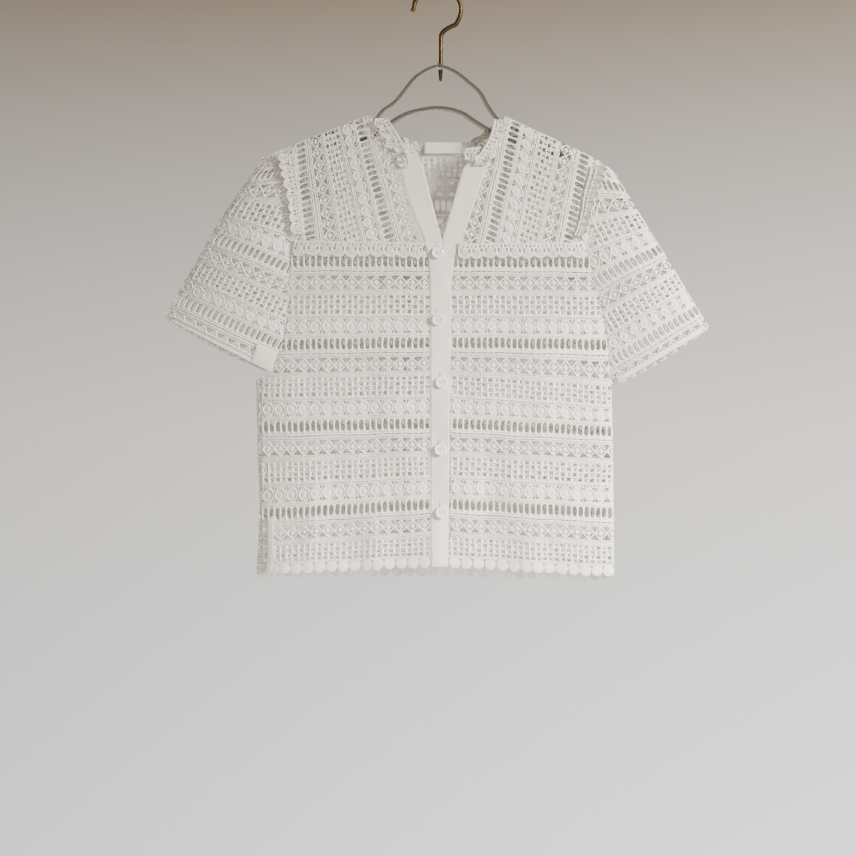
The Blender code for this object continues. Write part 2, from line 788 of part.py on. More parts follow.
BACK_FRILL_REACH = 66.0
BACK_FRILL_HEIGHT = 8.0
BACK_FRILL_RIPPLE = 0.9


def back_neck_frill(material):
    """Edging that stands on the back neckline."""
    places = [back_top_x(share) for share in back_shares()[1]]
    places = [x for x in places if abs(x - MIDDLE_X) < BACK_FRILL_REACH]
    grid = [[], []]
    for k, x in enumerate(places):
        z = back_top(x)
        base = stand_off(x, z, "back")
        ripple = BACK_FRILL_RIPPLE * math.sin(math.pi * k / 2.0)
        grid[0].append(Vector((x, base + ripple, z + BACK_FRILL_HEIGHT)))
        grid[1].append(Vector((x, base, z + SEAM)))
    fixed = seam_lines(2, len(places), "back")
    wall("neck_frill_back", grid, wall_directions(grid, "back", fixed), TRIM_WALL, material)


def neck_label(material):
    inset = -(LACE_WALL + LABEL["wall"]) / 2 - TRIM_LIFT
    left_x, right_x = MIDDLE_X - LABEL["right_out"], MIDDLE_X + LABEL["left_out"]
    grid = [
        [on_body(between(left_x, right_x, share), z, "back", inset) for share in (0.0, 0.33, 0.67, 1.0)]
        for z in (LABEL["top"], LABEL["bottom"])
    ]
    fixed = seam_lines(2, 4, "back")
    wall("label", grid, wall_directions(grid, "back", fixed), LABEL["wall"], material)


def button(number, x, z, tilt, material):
    """Turned shirt button: a dished face inside a rounded rim, on a flat back."""
    profile = [(0.0, 0.0), (0.8, 0.0), (1.0, 0.3), (1.0, 0.75), (0.9, 1.0), (0.72, 0.8), (0.0, 0.8)]
    bm = bmesh.new()
    verts = [bm.verts.new((r * BUTTON_RADIUS, -h * BUTTON_THICK, 0.0)) for r, h in profile]
    edges = [bm.edges.new(pair) for pair in zip(verts, verts[1:])]
    bmesh.ops.spin(bm, geom=verts + edges, cent=(0, 0, 0), axis=(0, 1, 0), angle=2 * math.pi, steps=14, use_merge=True)
    bmesh.ops.remove_doubles(bm, verts=bm.verts, dist=0.01)
    back_y = -(stand_off(x, z, "front") + PLACKET_WALL / 2 + SEAM)
    lean = math.radians(tilt)
    reach = BUTTON_RADIUS * abs(math.sin(lean))
    for vert in bm.verts:
        y, up = vert.co.y, vert.co.z
        vert.co.y = y * math.cos(lean) - up * math.sin(lean)
        vert.co.z = y * math.sin(lean) + up * math.cos(lean)
        vert.co += Vector((x, back_y - reach - 0.2, z))
    add_object(f"button_{number}", bm, material, math.radians(50))


def smooth_line(points, spacing):
    """Points of a Catmull-Rom curve through the given points, about one spacing apart."""
    line = [points[0]]
    padded = [points[0], *points, points[-1]]
    for k in range(1, len(points)):
        before, start, end, after = padded[k - 1:k + 3]
        steps = max(1, round((Vector(end) - Vector(start)).length / spacing))
        for step in range(1, steps + 1):
            t = step / steps
            line.append(
                tuple(
                    0.5 * (2 * b + (c - a) * t + (2 * a - 5 * b + 4 * c - d) * t * t + (3 * b - a - 3 * c + d) * t ** 3)
                    for a, b, c, d in zip(before, start, end, after)
                )
            )
    return line


def rod(name, points, radius, material, resolution=2):
    """Round rod along a line of points in the hanger's plane."""
    curve = bpy.data.curves.new(name, "CURVE")
    curve.dimensions = "3D"
    spline = curve.splines.new("POLY")
    spline.points.add(len(points) - 1)
    for target, point in zip(spline.points, points):
        target.co = (point[0] * MM, point[1] * MM, point[2] * MM, 1.0)
    curve.bevel_depth = radius * MM
    curve.bevel_resolution = resolution
    curve.use_fill_caps = True
    curve.materials.append(material)
    piece = bpy.data.objects.new(name, curve)
    bpy.context.scene.collection.objects.link(piece)


def hanger(material):
    arms = {}
    for side in ("right", "left"):
        line = SHOULDER[side]
        outs = [line["end_out"] - 26.0, line["end_out"] - 60.0, line["neck_out"] + 8.0, line["neck_out"] - 5.0]
        arms[side] = [(MIDDLE_X + SIDE_SIGN[side] * out, 0.0, min(shoulder_z(side, out), line["neck_z"]) - ROD_DROP) for out in outs]
    bell = [(x, 0.0, z) for x, z in BELL]
    left_arm = list(reversed(arms["left"]))
    rod("hanger_rod", smooth_line([*arms["right"], *bell, *left_arm], 9.0), ROD_RADIUS, material)
    under = {}
    for side in ("right", "left"):
        line = SHOULDER[side]
        outs = [line["end_out"] - 40.0, line["end_out"] - 56.0, line["neck_out"] + 4.0]
        drops = [(ROD_RADIUS + BAR_RADIUS + SEAM) / SHOULDER_SLANT, 11.0, 20.0]
        under[side] = [
            (MIDDLE_X + SIDE_SIGN[side] * out, 0.0, shoulder_z(side, out) - ROD_DROP - drop)
            for out, drop in zip(outs, drops)
        ]
    arch = [(-43.2, 0.0, -154.0), (-18.0, 0.0, -146.0), (4.8, 0.0, -144.0), (28.8, 0.0, -149.5), (50.0, 0.0, -163.0)]
    left_under = list(reversed(under["left"]))
    rod("hanger_bar", smooth_line([*under["right"], *arch, *left_under], 11.0), BAR_RADIUS, material)


def hook(material):
    """Wire bent three quarters round, with its open end to the left and its stem down to the hanger's rod."""
    centre_z = -HOOK_RADIUS + HOOK_WIRE
    points = [(-HOOK_RADIUS - 1.6, 0.0, centre_z - 1.5)]
    steps = 18
    for k in range(steps + 1):
        turn = math.radians(between(176.0, -38.0, k / steps))
        points.append((HOOK_RADIUS * math.cos(turn), 0.0, centre_z + HOOK_RADIUS * math.sin(turn)))
    points += [(14.0, 0.0, -47.0), (7.6, 0.0, -51.5), (4.6, 0.0, -57.0), (HOOK_STEM_X, 0.0, -64.0)]
    foot = HANGER_TOP + ROD_RADIUS + SEAM + 0.1
    points.append((HOOK_STEM_X, 0.0, foot))
    rod("hook", points, HOOK_WIRE, material)
    bm = bmesh.new()
    head = HANGER_TOP - ROD_RADIUS - SEAM - 0.6
    bmesh.ops.create_cone(bm, cap_ends=True, segments=12, radius1=1.2, radius2=2.2, depth=14.0)
    bmesh.ops.translate(bm, vec=(HOOK_STEM_X, 0.0, head - 7.0), verts=bm.verts)
    add_object("hook_screw", bm, material, math.radians(40))


def main():
    for item in list(bpy.data.objects):
        bpy.data.objects.remove(item)
    lace = finish("off-white guipure lace", "E6E1DA", 0.85)
    woven = finish("white woven cotton", "ECEAE6", 0.8)
    satin = finish("white satin ribbon", "E9E6E2", 0.5)
    pearl = finish("pearl shirt button", "F2EFEA", 0.25)
    acrylic = finish("clear acrylic", "F4F6F5", 0.05, transmission=1.0)
    brass = finish("polished brass", "B08B45", 0.25, metallic=1.0)
    for side in ("right", "left"):
        lower_front(side, lace)
        yoke(side, lace)
        for face in ("front", "back"):
            sleeve(side, face, lace)
            cuff_tape(side, face, woven)
        band(side, woven)
        yoke_trim(side, lace)
        frill(f"shoulder_frill_{side}", side, SHOULDER_FRILLS[side], 4, 1.0, 18, lace)
        frill(f"neck_frill_{side}", side, NECK_FRILLS[side], 3, 1.0, 15, lace)
        hem_edging(f"hem_{side}", "front", front_hem_line(side), HEM_SCALLOPS[side], lace)
    back_panel(lace)
    hem_edging("hem_back", "back", back_hem_line, HEM_SCALLOPS["back"], lace)
    back_neck_frill(lace)
    placket(woven)
    neck_label(satin)
    for number, (x, z, tilt) in enumerate(BUTTONS, 1):
        button(number, x, z, tilt, pearl)
    hanger(acrylic)
    hook(brass)


main()
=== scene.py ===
# %% [markdown]
# # A cropped lace jacket on a clear hanger
# The real thing is a short-sleeved jacket of guipure lace: thick cotton embroidery whose ground cloth was
# dissolved away, so that only thread and holes are left. It could be drawn as a flat sheet with a
# see-through texture, but the holes, the shaded thread edges and the view through to the back all come from
# real geometry. So one repeat of the lace is modelled flat, repeated with Array modifiers, cut to each
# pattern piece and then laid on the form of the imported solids. Sizes are in millimetres and become metres
# when a mesh is made.

import math

import bmesh
import bpy
import numpy as np
from mathutils import Matrix, Vector


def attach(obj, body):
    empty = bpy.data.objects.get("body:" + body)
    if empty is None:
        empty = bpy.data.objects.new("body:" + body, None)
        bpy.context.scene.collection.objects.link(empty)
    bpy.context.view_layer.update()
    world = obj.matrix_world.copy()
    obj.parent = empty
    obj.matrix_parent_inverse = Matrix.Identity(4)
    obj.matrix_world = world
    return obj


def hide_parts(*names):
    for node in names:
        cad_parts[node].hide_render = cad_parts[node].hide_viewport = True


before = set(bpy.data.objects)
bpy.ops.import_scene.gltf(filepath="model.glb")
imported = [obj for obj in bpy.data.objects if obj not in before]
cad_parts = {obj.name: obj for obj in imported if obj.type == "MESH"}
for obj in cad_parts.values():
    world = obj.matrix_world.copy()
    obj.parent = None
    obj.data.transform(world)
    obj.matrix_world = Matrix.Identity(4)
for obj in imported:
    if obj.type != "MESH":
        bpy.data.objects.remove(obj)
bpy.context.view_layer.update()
MM = 0.001

# %% [markdown]
# ## The garment's form
# The solids of the jacket stand off from the plane of the hanger by a distance that grows from the
# shoulders down and falls to nothing at the side seams. The scene repeats the same few driving sizes, so
# that the lace lies on its solids. "Out" is a distance from the garment's middle, heights are negative
# below the hook, and right and left are the wearer's.

# %% Driving sizes of the form
SEAM = 0.3
LACE_WALL = 1.6
TAPE_WALL = 1.4
TRIM_WALL = 1.2
PLACKET_WALL = 2.2
MIDDLE_X = 3.6
SIDE_SIGN = {"right": -1, "left": 1}
FACE_SIGN = {"front": -1, "back": 1}
SHOULDER = {
    "right": {"neck_out": 84.0, "neck_z": -151.7, "end_out": 178.0, "end_z": -188.3},
    "left": {"neck_out": 76.8, "neck_z": -152.9, "end_out": 184.8, "end_z": -203.3},
}
# Outer edge of the body. columns: height, distance out, distance out where front and back would meet
EDGE = {
    "right": [(-188.3, 178.0, 222.0), (-373.7, 180.0, 222.0), (-420.5, 187.0, 213.0), (-433.7, 191.4, 207.0),
              (-461.3, 200.4, 206.0), (-469.7, 220.8, 220.8), (-569.3, 218.4, 218.4), (-625.7, 216.0, 216.0),
              (-710.0, 221.0, 221.0)],
    "left": [(-203.3, 184.8, 222.0), (-316.1, 175.2, 220.0), (-362.9, 187.8, 218.0), (-420.5, 199.2, 213.0),
             (-433.7, 201.0, 210.0), (-478.1, 205.2, 209.6), (-485.3, 205.8, 205.8), (-580.1, 207.6, 207.6),
             (-672.5, 208.8, 208.8), (-710.0, 208.8, 208.8)],
}
ROD_CLEAR = 5.4
ROD_BEND = 5.0
FULL_DEPTH = {"front": 17.0, "back": 14.0}
SPREAD = 70.0
EDGE_POWER = 4
# Drape folds. columns: length across, place across, lean with height, size at the hem
FOLDS = {
    "front": [(150.0, 30.0, 0.10, 1.6), (87.0, 12.0, -0.16, 1.0)],
    "back": [(132.0, -20.0, 0.08, 1.8), (94.0, 40.0, -0.12, 1.2)],
}
# Softer, smaller creases that the cloth adds to its solid's folds
CREASES = {
    "front": [(61.0, 8.0, 0.22, 0.9), (38.0, 20.0, -0.10, 0.5)],
    "back": [(57.0, -14.0, -0.20, 0.9), (41.0, 30.0, 0.12, 0.5)],
}
FOLD_TOP = -330.0
HEM_Z = -700.0


# %% Tables and the stand-off from the hanger's plane
def between(low, high, share):
    return low + (high - low) * share


def table(rows, key, column, key_column=0):
    """Values of a column where the falling key column passes each key, along straight lines between rows."""
    keys = [-row[key_column] for row in rows]
    return np.interp(-np.asarray(key, dtype=float), keys, [row[column] for row in rows])


def by_side(out_signed, right, left):
    """right's values where a place is on the wearer's right of the middle, and left's elsewhere."""
    return np.where(out_signed < 0.0, right, left)


def shoulder_height(side, out):
    line = SHOULDER[side]
    fall = (line["neck_z"] - line["end_z"]) / (line["end_out"] - line["neck_out"])
    return line["neck_z"] - (out - line["neck_out"]) * fall


def ripple(x, z, waves):
    hang = np.clip((FOLD_TOP - z) / (FOLD_TOP - HEM_Z), 0.0, 1.2)
    phases = [(size, 2.0 * np.pi * (x - place + lean * z) / length) for length, place, lean, size in waves]
    return sum(size * hang * np.sin(phase) for size, phase in phases)


def stand_off(x, z, face, creased=True):
    """Distance of the cloth's middle from the hanger's plane at places on the body."""
    signed = x - MIDDLE_X
    out = np.abs(signed)
    shoulder_z = by_side(signed, shoulder_height("right", out), shoulder_height("left", out))
    below = np.maximum(shoulder_z - z, 0.0)
    bend = np.minimum(below / ROD_BEND, 1.0)
    over_rod = ROD_CLEAR * np.sqrt(bend * (2.0 - bend))
    swell = (FULL_DEPTH[face] - ROD_CLEAR) * (1.0 - np.exp(-np.maximum(below - ROD_BEND, 0.0) / SPREAD))
    waves = FOLDS[face] + (CREASES[face] if creased else [])
    fold = by_side(signed, table(EDGE["right"], z, 2), table(EDGE["left"], z, 2))
    taper = np.sqrt(np.maximum(1.0 - (out / fold) ** EDGE_POWER, 0.0))
    return np.maximum((over_rod + swell + ripple(x, z, waves)) * taper, SEAM / 2)


def body_point(x, z, face, lift=0.0):
    """Points on the body's cloth as an array of rows x, y, z, moved out by lift."""
    x, z = np.broadcast_arrays(np.asarray(x, dtype=float), np.asarray(z, dtype=float))
    return np.stack([x, FACE_SIGN[face] * (stand_off(x, z, face) + lift), z], axis=-1)


def line_of(side):
    """Column of a table that has its right side's values in column 1 and its left side's in column 2."""
    return 1 if side == "right" else 2


print("stand-off at the chest in mm:", float(stand_off(np.float64(100.0), np.float64(-420.0), "front")))

# %% [markdown]
# ## Finishes
# Each finish is a Principled BSDF that starts from what the real surface is. Colours are written as the
# sRGB hex values that one would pick by eye, and one function turns them into the linear values that
# shaders use.

# %% Helpers for the finishes
def linear(hex_colour):
    """Linear RGBA of an sRGB hex colour."""
    channels = [int(hex_colour[i:i + 2], 16) / 255 for i in (0, 2, 4)]
    return (*[c / 12.92 if c <= 0.04045 else ((c + 0.055) / 1.055) ** 2.4 for c in channels], 1.0)


def node(tree, kind, inputs=(), **settings):
    """Add a node, set its properties, and fill its inputs with values or link them to other sockets."""
    made = tree.nodes.new(kind)
    for name, value in settings.items():
        setattr(made, name, value)
    for key, value in dict(inputs).items():
        if isinstance(value, bpy.types.NodeSocket):
            tree.links.new(value, made.inputs[key])
        else:
            made.inputs[key].default_value = value
    return made


def finish(name, hex_colour, roughness, **sockets):
    """A new material and its shader, with constants on the shader's own sockets."""
    material = bpy.data.materials.new(name)
    material.use_nodes = True
    shader = material.node_tree.nodes["Principled BSDF"]
    shader.inputs["Base Color"].default_value = linear(hex_colour)
    shader.inputs["Roughness"].default_value = roughness
    for key, value in sockets.items():
        shader.inputs[key.replace("_", " ")].default_value = value
    return material, material.node_tree, shader


# %% Textures for the finishes
# at scale 1, one wave of the Wave texture is this long
WAVE_LENGTH = 0.314


def object_place(tree):
    return node(tree, "ShaderNodeTexCoord").outputs["Object"]


def flat_place(tree):
    return node(tree, "ShaderNodeUVMap", uv_map="flat").outputs["UV"]


def noise(tree, place, size, detail, **inputs):
    """Noise with patches of about a size in millimetres."""
    inputs = {"Vector": place, "Scale": 1.0 / (size * MM), "Detail": detail, **inputs}
    return node(tree, "ShaderNodeTexNoise", inputs).outputs["Fac"]


def fine_lines(tree, place, pitch, inputs=(), **settings):
    """Parallel lines that lie a pitch in millimetres apart."""
    inputs = {"Vector": place, "Scale": WAVE_LENGTH / (pitch * MM), **dict(inputs)}
    return node(tree, "ShaderNodeTexWave", inputs, **settings).outputs["Fac"]


def mixed(tree, factor, first, second, blend="MIX"):
    """Mix of two colours, each an sRGB hex colour or a socket."""
    first, second = (linear(tone) if isinstance(tone, str) else tone for tone in (first, second))
    inputs = {"Factor": factor, "A": first, "B": second}
    return node(tree, "ShaderNodeMix", inputs, data_type="RGBA", blend_type=blend).outputs["Result"]


def mapped(tree, value, *limits, **settings):
    """Map Range of a value. limits are From Min, From Max, To Min and To Max."""
    ends = zip(("From Min", "From Max", "To Min", "To Max"), limits)
    return node(tree, "ShaderNodeMapRange", {"Value": value, **dict(ends)}, **settings).outputs["Result"]


def bump_normal(tree, height, strength, depth, **inputs):
    """Bump of a depth in millimetres."""
    inputs = {"Height": height, "Strength": strength, "Distance": depth * MM, **inputs}
    return node(tree, "ShaderNodeBump", inputs).outputs["Normal"]


def connect(tree, shader, **outputs):
    """Link outputs to the shader's sockets of the same names."""
    for key, output in outputs.items():
        tree.links.new(output, shader.inputs[key.replace("_", " ")])


# %% [markdown]
# ### Guipure lace: mercerised cotton embroidery
# Guipure is satin stitch over nothing: dense parallel threads laid side by side. Matt cotton scatters light
# evenly, so the roughness is high, with a little sheen from loose fibres. The threads are about 0.3 mm
# thick, too fine to show in a full view, so a bump three times coarser stands for them. Broad, faint
# patches of a warmer white give the hand-dyed unevenness of natural cotton.

# %% Lace finish
THREAD = 0.9
THREAD_TWIST = 28.0
DYE_PATCH = 70.0
SLUB = 4.0


def cotton_lace():
    material, tree, shader = finish("guipure embroidery, off-white cotton", "EBE7E0", 0.82,
                                    Sheen_Weight=0.12, Sheen_Roughness=0.5, Subsurface_Weight=0.2,
                                    Subsurface_Scale=0.001, Subsurface_Radius=(1.0, 0.97, 0.93))
    place = object_place(tree)
    dye = mixed(tree, noise(tree, place, DYE_PATCH, 2.0), "EDEAE4", "E2DCD2")
    slubs = mapped(tree, noise(tree, place, SLUB, 3.0), 0.3, 0.7, 0.9, 1.04)
    turn = {"Vector": flat_place(tree), "Rotation": (0.0, 0.0, math.radians(THREAD_TWIST))}
    twist = node(tree, "ShaderNodeMapping", turn).outputs["Vector"]
    threads = fine_lines(tree, twist, THREAD, {"Distortion": 1.5, "Detail": 1.0, "Detail Scale": 2.0})
    tone = mixed(tree, 1.0, dye, slubs, "MULTIPLY")
    connect(tree, shader, Base_Color=tone, Normal=bump_normal(tree, threads, 0.35, 0.25))
    return material


lace_finish = cotton_lace()
print("finish:", lace_finish.name)

# %% [markdown]
# ## One repeat of the lace
# Seen from the front the lace has rows, which come back every 96 mm: a ladder with tall open ovals, a pair
# of cords, diamonds, a net of small squares, and a row of round medallions. Each thread bundle is a small
# closed shape with only a few dozen faces, because it is repeated thousands of times. They overlap as real
# stitching does, and need no welding. The repeat lies flat: X runs along the rows, Y goes down the garment,
# Z is relief.

# %% Between bmeshes, meshes and objects
def as_mesh(name, bm):
    """The bmesh as a new mesh."""
    mesh = bpy.data.meshes.new(name)
    bm.to_mesh(mesh)
    bm.free()
    return mesh


def take_in(bm, mesh):
    """Add a mesh to a bmesh and remove the mesh."""
    bm.from_mesh(mesh)
    bpy.data.meshes.remove(mesh)


def linked(name, data):
    """New object at the origin."""
    item = bpy.data.objects.new(name, data)
    bpy.context.scene.collection.objects.link(item)
    return item


def evaluated(item):
    """Mesh of an object as its modifiers leave it. The object is removed."""
    mesh = bpy.data.meshes.new_from_object(item.evaluated_get(bpy.context.evaluated_depsgraph_get()))
    bpy.data.objects.remove(item)
    return mesh


def count_triangles(bm):
    return sum(len(face.verts) - 2 for face in bm.faces)


# %% Small thread shapes
PITCH = 14.3
REPEAT = 96.0
BAR_SIDES = 6
# how far a cord runs past its pitch at each end, so that the copies overlap
OVERLAP = 0.15


def add_shape(bm, shape, size, turn, middle):
    """Scale, turn about Z and move a shape that was made in a bmesh of its own, and add it to bm."""
    bmesh.ops.scale(shape, vec=size, verts=shape.verts)
    bmesh.ops.rotate(shape, cent=(0, 0, 0), matrix=Matrix.Rotation(turn, 3, "Z"), verts=shape.verts)
    bmesh.ops.translate(shape, vec=middle, verts=shape.verts)
    take_in(bm, as_mesh("shape", shape))


def unit_cylinder(sides):
    shape = bmesh.new()
    bmesh.ops.create_cone(shape, cap_ends=True, segments=sides, radius1=1.0, radius2=1.0, depth=1.0)
    return shape


def thread_bar(bm, start, end, width, height=1.4, profile=None):
    """Rounded bundle of threads. profile gives the width's shares at even steps from start to end."""
    start, end = Vector((*start, 0.0)), Vector((*end, 0.0))
    run = end - start
    shape = unit_cylinder(BAR_SIDES)
    bmesh.ops.rotate(shape, cent=(0, 0, 0), matrix=Matrix.Rotation(math.pi / 2, 3, "Y"), verts=shape.verts)
    if profile:
        sides = [edge for edge in shape.edges if abs(edge.verts[0].co.x - edge.verts[1].co.x) > 0.5]
        bmesh.ops.subdivide_edges(shape, edges=sides, cuts=len(profile) - 2, use_grid_fill=True)
        for vert in shape.verts:
            vert.co.y *= profile[round((vert.co.x + 0.5) * (len(profile) - 1))]
    add_shape(bm, shape, (run.length, width / 2, height / 2), math.atan2(run.y, run.x), (start + end) / 2)


def stitched_pad(bm, middle, size, sides=4, turn=0.0, height=1.5, crown=0.6):
    """Padded motif of satin stitch: a low closed pillow with the given number of sides."""
    shape = unit_cylinder(sides)
    ends = [face for face in shape.faces if abs(face.normal.z) > 0.9]
    bmesh.ops.inset_individual(shape, faces=ends, thickness=0.3, depth=0.0)
    for face in ends:
        rise = math.copysign(crown / 2, face.normal.z)
        bmesh.ops.translate(shape, vec=(0, 0, rise), verts=list(face.verts))
    corner = Matrix.Rotation(turn + math.pi / sides, 3, "Z")
    bmesh.ops.rotate(shape, cent=(0, 0, 0), matrix=corner, verts=shape.verts)
    add_shape(bm, shape, (size[0] / 2, size[1] / 2, height / 2), 0.0, (*middle, 0.0))


def cord(bm, y, width, height, pitch=PITCH):
    """Straight cord along a row."""
    thread_bar(bm, (-OVERLAP, y), (pitch + OVERLAP, y), width, height)


# %% [markdown]
# The rows are drawn from the top down. The ladder's bars flare at their ends between tall open ovals, so
# the bars' width follows a short profile instead of drawing each oval.

# %% The raised stitching of one repeat
LADDER_PROFILE = (1.0, 0.42, 0.3, 0.27, 0.3, 0.42, 1.0)
# columns: distance down the repeat, width, height
CORDS = [
    (1.2, 1.7, 2.2), (15.8, 1.7, 2.2), (18.3, 2.1, 2.8), (21.8, 2.1, 2.8), (24.3, 1.2, 2.0), (41.5, 1.2, 2.0),
    (44.0, 1.7, 2.7), (46.2, 1.7, 2.7), (47.8, 1.3, 1.8), (52.9, 1.6, 1.9), (58.7, 1.6, 1.9),
    (64.5, 1.6, 1.9),
    (70.0, 1.3, 1.8), (72.2, 2.1, 2.8), (75.0, 1.4, 2.0), (93.2, 1.4, 2.0), (95.2, 1.7, 2.6),
]
LADDER_SPAN = (1.2, 15.8)
DIAMOND_MIDDLE = 33.0
DIAMOND_HALF = 7.6
NET_SPAN = (47.6, 70.2)
MEDALLION_MIDDLE = 84.0
MEDALLION_SIZE = (13.4, 14.6)
MEDALLION_RIM = (6.1, 6.7)
MEDALLION_HEART = (6.2, 6.8)
MEDALLION_TIE = (75.2, 92.8)


def upright_bars(bm, span, width, height, profile=None):
    """Two bars across a row in every pitch."""
    for x in (0.0, PITCH / 2):
        thread_bar(bm, (x, span[0]), (x, span[1]), width, height, profile)


def diamonds(bm):
    top, low = DIAMOND_MIDDLE - DIAMOND_HALF, DIAMOND_MIDDLE + DIAMOND_HALF
    corners = [(0.0, DIAMOND_MIDDLE), (PITCH / 2, top), (PITCH, DIAMOND_MIDDLE), (PITCH / 2, low)]
    for start, end in zip(corners, corners[1:] + corners[:1]):
        thread_bar(bm, start, end, 1.7, 2.5)
    thread_bar(bm, (0.6, DIAMOND_MIDDLE), (PITCH - 0.6, DIAMOND_MIDDLE), 0.9, 1.1)
    thread_bar(bm, (PITCH / 2, top + 1.0), (PITCH / 2, low - 1.0), 0.9, 1.1)
    stitched_pad(bm, (PITCH / 2, DIAMOND_MIDDLE), (6.6, 7.2), 4, math.radians(45.0), height=1.5, crown=1.3)


def medallions(bm):
    """Round motif with a raised rim, a groove and a raised middle, and a tie between neighbours."""
    middle = (PITCH / 2, MEDALLION_MIDDLE)
    stitched_pad(bm, middle, MEDALLION_SIZE, 12, height=1.2, crown=-0.2)
    sides = [math.radians(30.0 * k) for k in range(13)]
    reach_x, reach_y = MEDALLION_RIM
    rim = [(middle[0] + reach_x * math.cos(a), middle[1] + reach_y * math.sin(a)) for a in sides]
    for start, end in zip(rim, rim[1:]):
        thread_bar(bm, start, end, 1.4, 2.6)
    stitched_pad(bm, middle, MEDALLION_HEART, 8, height=2.2, crown=0.5)
    top, low = MEDALLION_TIE
    thread_bar(bm, (0.0, top), (0.0, low), 1.0, 1.3)


def raised_repeat():
    bm = bmesh.new()
    upright_bars(bm, LADDER_SPAN, PITCH / 2, 1.9, LADDER_PROFILE)
    for y, width, height in CORDS:
        cord(bm, y, width, height)
    diamonds(bm)
    upright_bars(bm, NET_SPAN, 1.9, 1.9)
    medallions(bm)
    return flat_unit("raised stitching", bm)


# %% [markdown]
# Under the raised stitching lies the ground of the lace, the flat web that holds it together. It starts as
# a plain grid whose lines are moved to the edges of the openings. Then the cells of the openings are
# deleted and the Solidify modifier gives the web its thickness, which also closes the rims of the holes.

# %% The ground of one repeat
GROUND_WALL = 0.6
OPEN_CELLS = {"": (), "windows": (1, 2, 5, 6), "wedges": (0, 7), "heart": (3, 4), "both": (0, 3, 4, 7),
              "dots": (1, 3, 5, 7)}
GROUND_LINES = [
    # distance down the repeat, kind of line, its two sizes, cells open down to the next line
    # a "pair" line has the half widths of its left and right windows,
    # a "ring" line has the reach of the wedges at the sides and the place where the heart starts
    (0.0, "pair", 1.8, 1.8, ""),
    (2.3, "pair", 1.2, 1.2, "windows"),
    (3.2, "pair", 2.1, 2.1, "windows"),
    (5.5, "pair", 2.5, 2.5, "windows"),
    (8.5, "pair", 2.55, 2.55, "windows"),
    (11.5, "pair", 2.5, 2.5, "windows"),
    (13.8, "pair", 2.1, 2.1, "windows"),
    (14.7, "pair", 1.2, 1.2, ""),
    (19.5, "pair", 3.0, 3.0, "windows"),
    (20.6, "pair", 3.0, 3.0, ""),
    (22.9, "pair", 1.8, 1.8, "dots"),
    (23.7, "pair", 1.8, 1.8, ""),
    (25.2, "ring", 5.3, 6.6, "wedges"),
    (27.2, "ring", 4.1, 6.6, "wedges"),
    (29.0, "ring", 2.5, 5.0, "both"),
    (31.0, "ring", 0.7, 3.1, "heart"),
    (33.0, "ring", 0.4, 1.4, "heart"),
    (35.0, "ring", 0.7, 3.1, "both"),
    (37.0, "ring", 2.5, 5.0, "wedges"),
    (38.8, "ring", 4.1, 6.6, "wedges"),
    (40.8, "ring", 5.3, 6.6, ""),
    (42.1, "pair", 1.8, 1.8, "dots"),
    (43.1, "pair", 1.8, 1.8, ""),
    (48.5, "pair", 2.2, 0.9, "windows"),
    (52.1, "pair", 2.2, 0.9, ""),
    (53.8, "pair", 0.9, 2.2, "windows"),
    (57.8, "pair", 0.9, 2.2, ""),
    (59.6, "pair", 2.2, 0.9, "windows"),
    (63.6, "pair", 2.2, 0.9, ""),
    (65.4, "pair", 0.9, 2.2, "windows"),
    (69.3, "pair", 0.9, 2.2, ""),
    (73.2, "pair", 1.8, 1.8, "dots"),
    (74.3, "pair", 1.8, 1.8, ""),
    (75.6, "ring", 4.2, 6.0, "wedges"),
    (77.6, "ring", 2.6, 5.0, "wedges"),
    (79.8, "ring", 1.1, 4.0, ""),
    (88.2, "ring", 1.1, 4.0, "wedges"),
    (90.4, "ring", 2.6, 5.0, "wedges"),
    (92.4, "ring", 4.2, 6.0, ""),
    (96.0, "pair", 1.8, 1.8, ""),
]


def places_across(kind, left, right):
    """Places of the nine grid lines across one pitch, on one line of the ground."""
    half = PITCH / 2
    if kind == "pair":
        windows = ((half / 2, left), (1.5 * half, right))
        left, right = ([middle - reach, middle, middle + reach] for middle, reach in windows)
        return [0.0, *left, half, *right, PITCH]
    inner = [left, (left + right) / 2, right]
    return [0.0, *inner, half, *[PITCH - x for x in reversed(inner)], PITCH]


def ground_repeat():
    columns, rows = 8, len(GROUND_LINES) - 1
    bm = bmesh.new()
    bmesh.ops.create_grid(bm, x_segments=columns, y_segments=rows, size=1.0)
    cells = {}
    for face in bm.faces:
        middle = face.calc_center_median()
        cells[int((middle.x + 1) / 2 * columns), int((middle.y + 1) / 2 * rows)] = face
    for vert in bm.verts:
        i, j = round((vert.co.x + 1) / 2 * columns), round((vert.co.y + 1) / 2 * rows)
        down, *across, _ = GROUND_LINES[j]
        vert.co = (places_across(*across)[i], down, 0.0)
    open_cells = [cells[i, j] for j, line in enumerate(GROUND_LINES[:-1]) for i in OPEN_CELLS[line[4]]]
    bmesh.ops.delete(bm, geom=open_cells, context="FACES")
    return flat_unit("lace ground", bm)


# %% [markdown]
# ## From one repeat to a pattern piece
# The repeat becomes an object with two Array modifiers, one along the row and one down. The modifiers'
# result is read back as plain arrays with numpy, because a jacket needs about three hundred repeats and a
# Python loop over every vertex would be slow. Every closed shape keeps a number, so that shapes that fall
# wholly outside the pattern piece can be deleted, while those on its outline are pressed flat against the
# seam, as sewing does.

